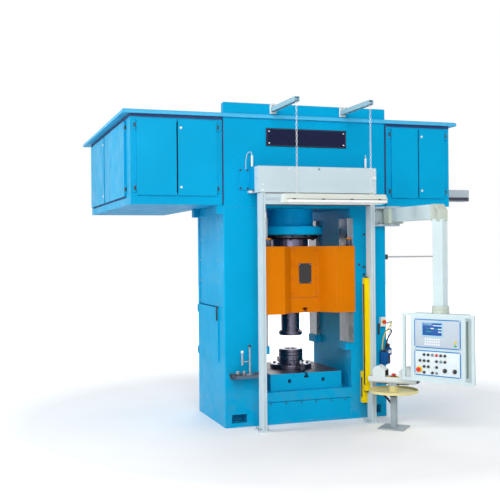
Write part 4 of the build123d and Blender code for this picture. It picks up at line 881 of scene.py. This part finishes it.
joint = begin(bpy.ops.mesh.primitive_circle_add, vertices=48, radius=0.0803)
rib_rise = 0.150 / 24
climb("EDGE", 6, ((rib_rise, 1), (rib_rise / 2, 1.05), (rib_rise * 2, 1), (rib_rise / 2, 1 / 1.05)))
settle(joint)
thicken(joint, 0.002)
spread(joint, [at(joint_x, joint_y, joint_foot)],
       "arm_joint_cover", joint_beige, "pendant_arm")
root = begin(bpy.ops.mesh.primitive_plane_add, size=1)
root.scale = (0.168, 0.148, 1)
bpy.ops.object.transform_apply(scale=True)
climb("FACE", 4, ((0.013, 1), (0.002, 0.96), (0.005, 1), (0.002, 1 / 0.96)))
settle(root, 0.0012, 2)
spread(root, [seat((joint_x, joint_y, root_level), arm_run)],
       "arm_root_cover", joint_beige, "pendant_arm")
elbow = slab((0.103, 0.152, 0.1255), (0, -0.007, -0.01225))
pick(elbow, lambda centre, run: centre.y > 0.05 and centre.z > 0.04, "EDGE")
bpy.ops.mesh.bevel(offset=0.0585, segments=1)
pick(elbow, lambda centre, normal: abs(normal.x) > 0.9)
bpy.ops.mesh.inset(thickness=0.008)
bpy.ops.mesh.inset(thickness=0.001, depth=-0.0008)
settle(elbow, 0.004, 2)
spread(elbow, [seat(arm_axis + Vector((0, 0, elbow_level)), arm_run)],
       "arm_elbow_cover", joint_beige, "pendant_arm")
swivel = ring(0.0785, 0.06, 0.0335, 0.012, 0.05)
spread(swivel, [at(arm_axis.x, arm_axis.y, arm_swivel)],
       "arm_swivel_cover", joint_beige, "pendant_arm", again=True)
spread(swivel, [at(arm_axis.x, arm_axis.y, panel_swivel)],
       "panel_swivel_cover", joint_beige, "panel")

# Panel front: two film-covered plates in blue frames on the pale housing, with a screen, membrane keys,
# signal lamps and push buttons. The plates stand for the plain CAD face.
panel_yaw = math.radians(57)
panel_out = Vector((-math.sin(panel_yaw), -math.cos(panel_yaw), 0))
panel_level, panel_reach = 0.7926, 0.0725
panel_seat = seat(arm_axis + Vector((0, 0, panel_level)) + panel_out * panel_reach, panel_out)


def on_panel(x, y, z=0.0):
    """Place on the panel's front, from its middle, in metres."""
    return panel_seat @ at(x, y, z)


# Grey-green strips on the housing's pale sides: painted shade on faces turned from the light.
side_shade_grey = enamel("side_shade_grey", tone(122, 137, 132), roughness=0.5, wear=0.15)
spread(tile(0.04, 0.5, 0.003, 0.006, -0.0015),
       [on_panel(hand * 0.2665, 0, -0.04) @ seat((0, 0, 0), (hand, 0, 0), backward) for hand in (-1, 1)],
       "panel_sides", side_shade_grey, "panel")
film_grey = enamel("film_grey", tone(186, 197, 208), roughness=0.42, wear=0.1, edge=0.002)
film_white = enamel("film_white", tone(214, 226, 230), roughness=0.42, wear=0.1, edge=0.002)
film_blue = enamel("film_blue", tone(44, 128, 196), roughness=0.4, wear=0.1, edge=0.002)
upper_y, lower_y, film_top, button_seat = 0.128, -0.138, 0.004, 0.005
spread(tile(0.450, 0.260, film_top), [on_panel(0, upper_y)], "upper_film", film_blue, "panel")
spread(tile(0.450, 0.228, film_top), [on_panel(0, lower_y)], "lower_film", film_blue, "panel")
upper_plate = spread(tile(0.432, 0.242, 0.0012, bevel=0.0004), [on_panel(0, upper_y, film_top)],
                     "upper_plate", film_grey, "panel")
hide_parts("panel_face")
spread(tile(0.432, 0.210, 0.0012, bevel=0.0004), [on_panel(0, lower_y, film_top)],
       "lower_plate", film_white, "panel")
screen_x, screen_y = -0.0465, 0.169
spread(tile(0.208, 0.132, 0.006, 0.010, -0.004), [on_panel(screen_x, screen_y, 0.0045)],
       "screen_bezel", plastic("bezel_cyan", tone(150, 204, 220), 0.35), "panel")
spread(tile(0.187, 0.111, 0.001, bevel=0.0003), [on_panel(screen_x, screen_y, 0.0062)],
       "screen_glass", plastic("screen_blue", tone(10, 76, 156), 0.12, 900, 0.01), "panel")
field = tile(1, 1, 1, bevel=0)
for label, colour, fields in (
        ("pale", tone(206, 226, 240),
         ((0.005, 0.203, 0.085), (-0.045, 0.176, 0.035), (0.03, 0.172, 0.035), (0.03, 0.147, 0.035))),
        ("green", tone(0, 150, 130),
         ((-0.085, 0.203, 0.03), (-0.09, 0.176, 0.03), (-0.005, 0.172, 0.025), (-0.08, 0.147, 0.05)))):
    places = [on_panel(x, y, 0.0071) @ Matrix.Diagonal((width, 0.009, 0.0003, 1)) for x, y, width in fields]
    spread(field, places, f"screen_fields_{label}", plastic(f"screen_{label}", colour, 0.15, 900, 0.01),
           "panel", again=True)
discard(field)
key_y, key_pitch_x, key_pitch_y = 0.056, 0.022, 0.023
spread(tile(0.0145, 0.0145, 0.0028, 0.0016, -0.0004, 0.0005),
       [on_panel(screen_x + key_pitch_x * column, key_y + key_pitch_y * row, button_seat)
        for column in range(-3, 4) for row in (-1, 0, 1)],
       "panel_keys", plastic("key_pale", tone(226, 232, 236), 0.45), "panel")


def push_button(radius, height, dome):
    """Round push button on its seat: bezel ring with a cap sunk in it."""
    button = drum(radius, height, 28)
    pick(button, faces_up)
    bpy.ops.mesh.inset(thickness=radius * 0.2, depth=radius * 0.04)
    extrude(-height * 0.25)
    bpy.ops.mesh.inset(thickness=radius * 0.04)
    extrude(height * dome)
    return settle(button, radius * 0.05, 2)


button_colours = {"black": (0.02, 0.02, 0.022, 1), "grey": tone(120, 132, 140), "red": tone(206, 40, 34),
                  "white": tone(232, 236, 236), "green_grey": tone(110, 140, 132)}
special = {(0, 3): "grey", (0, 4): "red", (1, 3): "white", (1, 5): "green_grey", (2, 3): "white",
           (3, 2): "white", (3, 4): "grey"}
button_x, button_pitch = -0.167, 0.0407
groups = {}
for row, (row_y, first, count) in enumerate(((-0.062, 1, 6), (-0.117, 0, 7), (-0.169, 1, 4), (-0.222, 1, 4))):
    for column in range(first, first + count):
        place = on_panel(button_x + column * button_pitch, row_y, button_seat)
        groups.setdefault(special.get((row, column), "black"), []).append(place)
button = push_button(0.0125, 0.009, 0.45)
for name, places in groups.items():
    spread(button, places, f"panel_buttons_{name}", plastic(f"button_{name}", button_colours[name], 0.32),
           "panel", again=True)
discard(button)
signal = push_button(0.010, 0.008, 0.6)
for name, y, colour in (("yellow", 0.062, tone(240, 206, 40)), ("green", 0.030, tone(60, 190, 90))):
    spread(signal, [on_panel(0.176, y, button_seat)],
           f"panel_lamp_{name}", plastic(f"lamp_{name}", colour, 0.18), "panel", again=True)
discard(signal)
collar_yellow = plastic("collar_yellow", tone(240, 206, 20), 0.35)
spread(ring(0.028, 0.016, 0.008, 0.001, 0.375, 40), [on_panel(-0.1765, -0.199, button_seat)],
       "panel_stop_collar", collar_yellow, "panel")
spread(cap_screw(0.005, 0.003),
       [on_panel(hand * 0.219, y, film_top) for hand in (-1, 1) for y in (0.251, 0.005, -0.031, -0.245)],
       "panel_screws", pale_metal, "panel")
stop_red = plastic("stop_red", tone(214, 34, 26), 0.26)
dress(stop_red, "panel_estop")
dress(black_plastic, "selector_left", "selector_right")
pointer = tile(0.003, 0.012, 0.0008, bevel=0.0002)
for name, x in (("selector_left", 0.0757), ("selector_right", 0.1707)):
    spread(pointer, [on_panel(x, -0.187, 0.0289)],
           f"{name}_mark", white_plastic, name, again=True)
discard(pointer)

# Two-hand console: bevelled pale box on a post, with a rounded hood over each palm button and a yellow
# field round the stop button. The hoods are lined black, and a dark bracket carries the box.
dress(enamel("console_grey", tone(206, 214, 216), roughness=0.4, wear=0.15, edge=0.003), "console_body")
dress(enamel("post_grey", tone(150, 162, 170), roughness=0.45, wear=0.3), "console_post")
dress(stop_red, "console_estop")
dress(black_plastic, "palm_button_left", "palm_button_right")
console_turn = math.radians(45)
console_in = Vector((math.sin(console_turn), math.cos(console_turn), 0))
console_x, console_y, console_top = 0.644, -1.017, 0.482
console_seat = seat((console_x, console_y, console_top), upright, console_in)
spread(tile(0.11, 0.098, 0.0015, bevel=0.0005), [console_seat],
       "console_field", collar_yellow)
spread(ring(0.0295, 0.0265, 0.009, 0.001, 0.3), [console_seat],
       "console_stop_collar", black_plastic)
liner = slab((0.1175, 0.0985, 0.097), (0.12475, 0, 0.049))
pick(liner, lambda centre, run: centre.x < 0.07 and centre.z > 0.09, "EDGE")
bpy.ops.transform.translate(value=(0, 0, -0.039))
pick(liner, lambda centre, run: centre.x > 0.18 and centre.z > 0.09, "EDGE")
bpy.ops.mesh.bevel(offset=0.054, segments=6)
pick(liner, lambda centre, normal: normal.x < -0.9 or normal.z < -0.9)
bpy.ops.mesh.delete(type="FACE")
settle(liner)
thicken(liner, 0.0012)
spread(liner, [console_seat, console_seat @ Matrix.Rotation(math.pi, 4, "Z")],
       "hood_liners", black_plastic)
spread(tile(0.30, 0.07, 0.010, 0.02, -0.004, 0.002), [console_seat @ at(0, 0, -0.068)],
       "console_bracket", dark_steel)
spread(tile(0.09, 0.05, 0.006, 0.006, 0.002, 0.002), [console_seat @ seat((0.232, 0, -0.024), rightward)],
       "console_end", black_plastic)
spread(cap_screw(0.0045, 0.003), [console_seat @ at(x, y, 0) for x in (-0.215, 0.215) for y in (-0.04, 0.04)],
       "console_screws", pale_metal)

# Lead of the console: ribbed sleeve from the column's face to the back of the post.
# It follows the CAD route and stands for its plain tube.
route = [Vector(point) for point in ((0.745, -0.480, 0.260), (0.745, -0.650, 0.260),
                                     (0.78259, -0.87841, 0.110), (0.66238, -0.99862, 0.110))]
lead = hose("console_sleeve", route, 0.008, rubber)
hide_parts("console_lead")
rib_places = []
for step in range(1, 50):
    share = step / 50
    rest = 1 - share
    weights = (rest ** 3, 3 * rest ** 2 * share, 3 * rest * share ** 2, share ** 3)
    slopes = (-3 * rest ** 2, 3 * rest ** 2 - 6 * rest * share, 6 * rest * share - 3 * share ** 2,
              3 * share ** 2)
    spot = sum((point * weight for point, weight in zip(route, weights)), Vector())
    run = sum((point * slope for point, slope in zip(route, slopes)), Vector())
    rib_places.append(seat(spot, run))
spread(ring(0.0105, 0.0085, 0.005, 0.0012, 0.2), rib_places, "sleeve_ribs", rubber)

# Round tray: spun dish in pale yellow enamel, on a hub round the console's post.
# Its rim is rolled over, and a dark square collar stands below it.
tray_yellow = enamel("tray_yellow", tone(214, 203, 146), roughness=0.4, wear=0.3, edge=0.003)
dress(tray_yellow, "round_tray")
dish_radius, rim_level = 0.2205, 0.360
rim = begin(bpy.ops.mesh.primitive_torus_add, major_segments=72, minor_segments=8, major_radius=0.224,
            minor_radius=0.005)
for corner in rim.data.vertices:
    spoke = math.hypot(corner.co.x, corner.co.y)
    flat = max(spoke, dish_radius) / spoke
    corner.co = (corner.co.x * flat, corner.co.y * flat, corner.co.z * 0.8)
settle(rim)
spread(rim, [at(console_x, console_y, rim_level)], "tray_rim", tray_yellow)
tray_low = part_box("round_tray")[0]
spread(tile(0.060, 0.060, 0.045, 0.004, 0.0, 0.003),
       [seat((console_x, console_y, tray_low.z - 0.0455), upright, console_in)],
       "tray_collar", dark_steel)

# Gauge shelf and stand: dark tray screwed to the left column, with a foot, a rod, a cross arm and a
# feeler. Black ends close the tray, and the rod and the feeler have caps. The hanger rod on the right
# column's side is of the same bright steel, in a black clamp.
dress(enamel("shelf_steel", tone(92, 104, 122), roughness=0.42, wear=0.5, edge=0.003), "gauge_shelf")
dress(bright_steel, "gauge_stand", "hanger_rod")
shelf_face, screw_level = -0.488, 0.474
spread(cap_screw(0.006, 0.004), [front(x, screw_level, shelf_face) for x in (-0.77, -0.66, -0.55)],
       "shelf_screws", dark_steel)
shelf_low, shelf_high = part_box("gauge_shelf")
shelf_ends = ((shelf_low.x, -1), (shelf_high.x, 1))
spread(tile(0.190, 0.034, 0.006, 0.006, -0.002, 0.0015),
       [seat((x, shelf_low.y + 0.0925, shelf_high.z - 0.013), (hand, 0, 0)) for x, hand in shelf_ends],
       "shelf_ends", black_plastic)
stand_y = -0.5725
cap = ring(0.0125, 0.008, 0.022, 0.002, 0.15)
spread(cap, [at(-0.708, stand_y, 0.716)], "feeler_cap", white_plastic, again=True)
spread(cap, [at(-0.633, stand_y, 0.770)], "rod_cap", black_plastic)
side_x = 0.8505
spread(tile(0.050, 0.050, 0.044, 0.010, -0.002, 0.004), [seat((side_x, -0.420, 1.602), rightward)],
       "hanger_clamp", black_plastic)

# Stop box on the right column: white moulded box with a screw in each corner of its lid, a yellow
# ring round the button and a black pull bar beside it.
dress(white_plastic, "stop_box")
dress(stop_red, "stop_button")
stop_seat = front(0.802, 0.953, front_y - 0.046)
spread(ring(0.024, 0.0185, 0.004, 0.0008, 0.5), [stop_seat], "stop_ring", collar_yellow)
spread(tile(0.018, 0.11, 0.016, 0.004, 0.004, 0.003), [front(0.762, 0.880)],
       "stop_bar", black_plastic)
spread(cap_screw(0.004, 0.002), [stop_seat @ at(x, y, 0) for x in (-0.021, 0.021) for y in (-0.037, 0.037)],
       "stop_box_screws", pale_metal)

# Air service unit on the right column's side: cast filter and regulator on one plate, with bowls in dark
# guards, black knobs on top and a small pressure dial. Two hoses leave a blue valve on the column's
# front, and a third leaves the unit.
air_blue = enamel("air_blue", tone(20, 84, 150), roughness=0.4, wear=0.2)
dress(air_blue, "air_service_unit")
air_x, air_ys = 0.891, (-0.428, -0.362)
knob = drum(0.0225, 0.036, 28, (0, 0, 0.022))
pick(knob, lambda centre, normal: abs(normal.z) < 0.1 and every(2, 28, math.atan2(normal.y, normal.x)))
bpy.ops.mesh.extrude_faces_move(TRANSFORM_OT_shrink_fatten={"value": 0.0015})
pick(knob, faces_up)
bpy.ops.mesh.inset(thickness=0.004, depth=0.002)
settle(knob)
spread(knob, [at(air_x, y, 0.682) for y in air_ys], "air_knobs", black_plastic)
guard = drum(0.0275, 0.07, 32, (0, 0, -0.04))
pick(guard, lambda centre, normal: abs(normal.z) < 0.1 and every(4, 32, math.atan2(normal.y, normal.x)))
bpy.ops.mesh.inset(thickness=0.0012, depth=-0.001, use_individual=True)
settle(guard)
spread(guard, [at(air_x, y, 0.610) for y in air_ys], "air_guards", dark_steel)
spread(ring(0.018, 0.015, 0.02, 0.0005, 0.15, 28, 1), [front(air_x, 0.646, -0.459)],
       "air_dial", white_plastic)
valve_x, port_y, port_foot, port_step = 0.806, front_y - 0.028, 0.653, 0.018
spread(tile(0.075, 0.13, 0.05, 0.012, 0.012, 0.006), [front(valve_x, 0.588)],
       "air_valve", air_blue)
spread(ring(0.015, 0.009, 0.02, 0.002, 0.4),
       [at(valve_x + hand * port_step, port_y, port_foot) for hand in (-1, 1)],
       "valve_ports", black_plastic)
hose_yellow = plastic("hose_yellow", tone(216, 190, 70), 0.4)
port_top = 0.672
for name, start, lift, bulge, end, material in (
        ("air_hose_a", (valve_x - port_step, port_y, port_top), 0.24, 0.09,
         (side_x, -0.400, 0.92), hose_yellow),
        ("air_hose_b", (valve_x + port_step, port_y, port_top), 0.16, 0.075,
         (side_x, -0.380, 0.84), rubber),
        ("air_hose_c", (air_x, -0.428, 0.722), 0.14, 0.045, (side_x, -0.440, 0.93), white_plastic)):
    first, last = Vector(start), Vector(end)
    out = Vector((bulge, -0.02, 0))
    hose(name, [first, first + Vector((0, 0, lift * 0.6)), first + out + Vector((0, 0, lift)),
                last + out * 1.2 + Vector((0, 0, 0.05)), last + Vector((bulge * 0.8, 0, 0)), last],
         0.007, material)
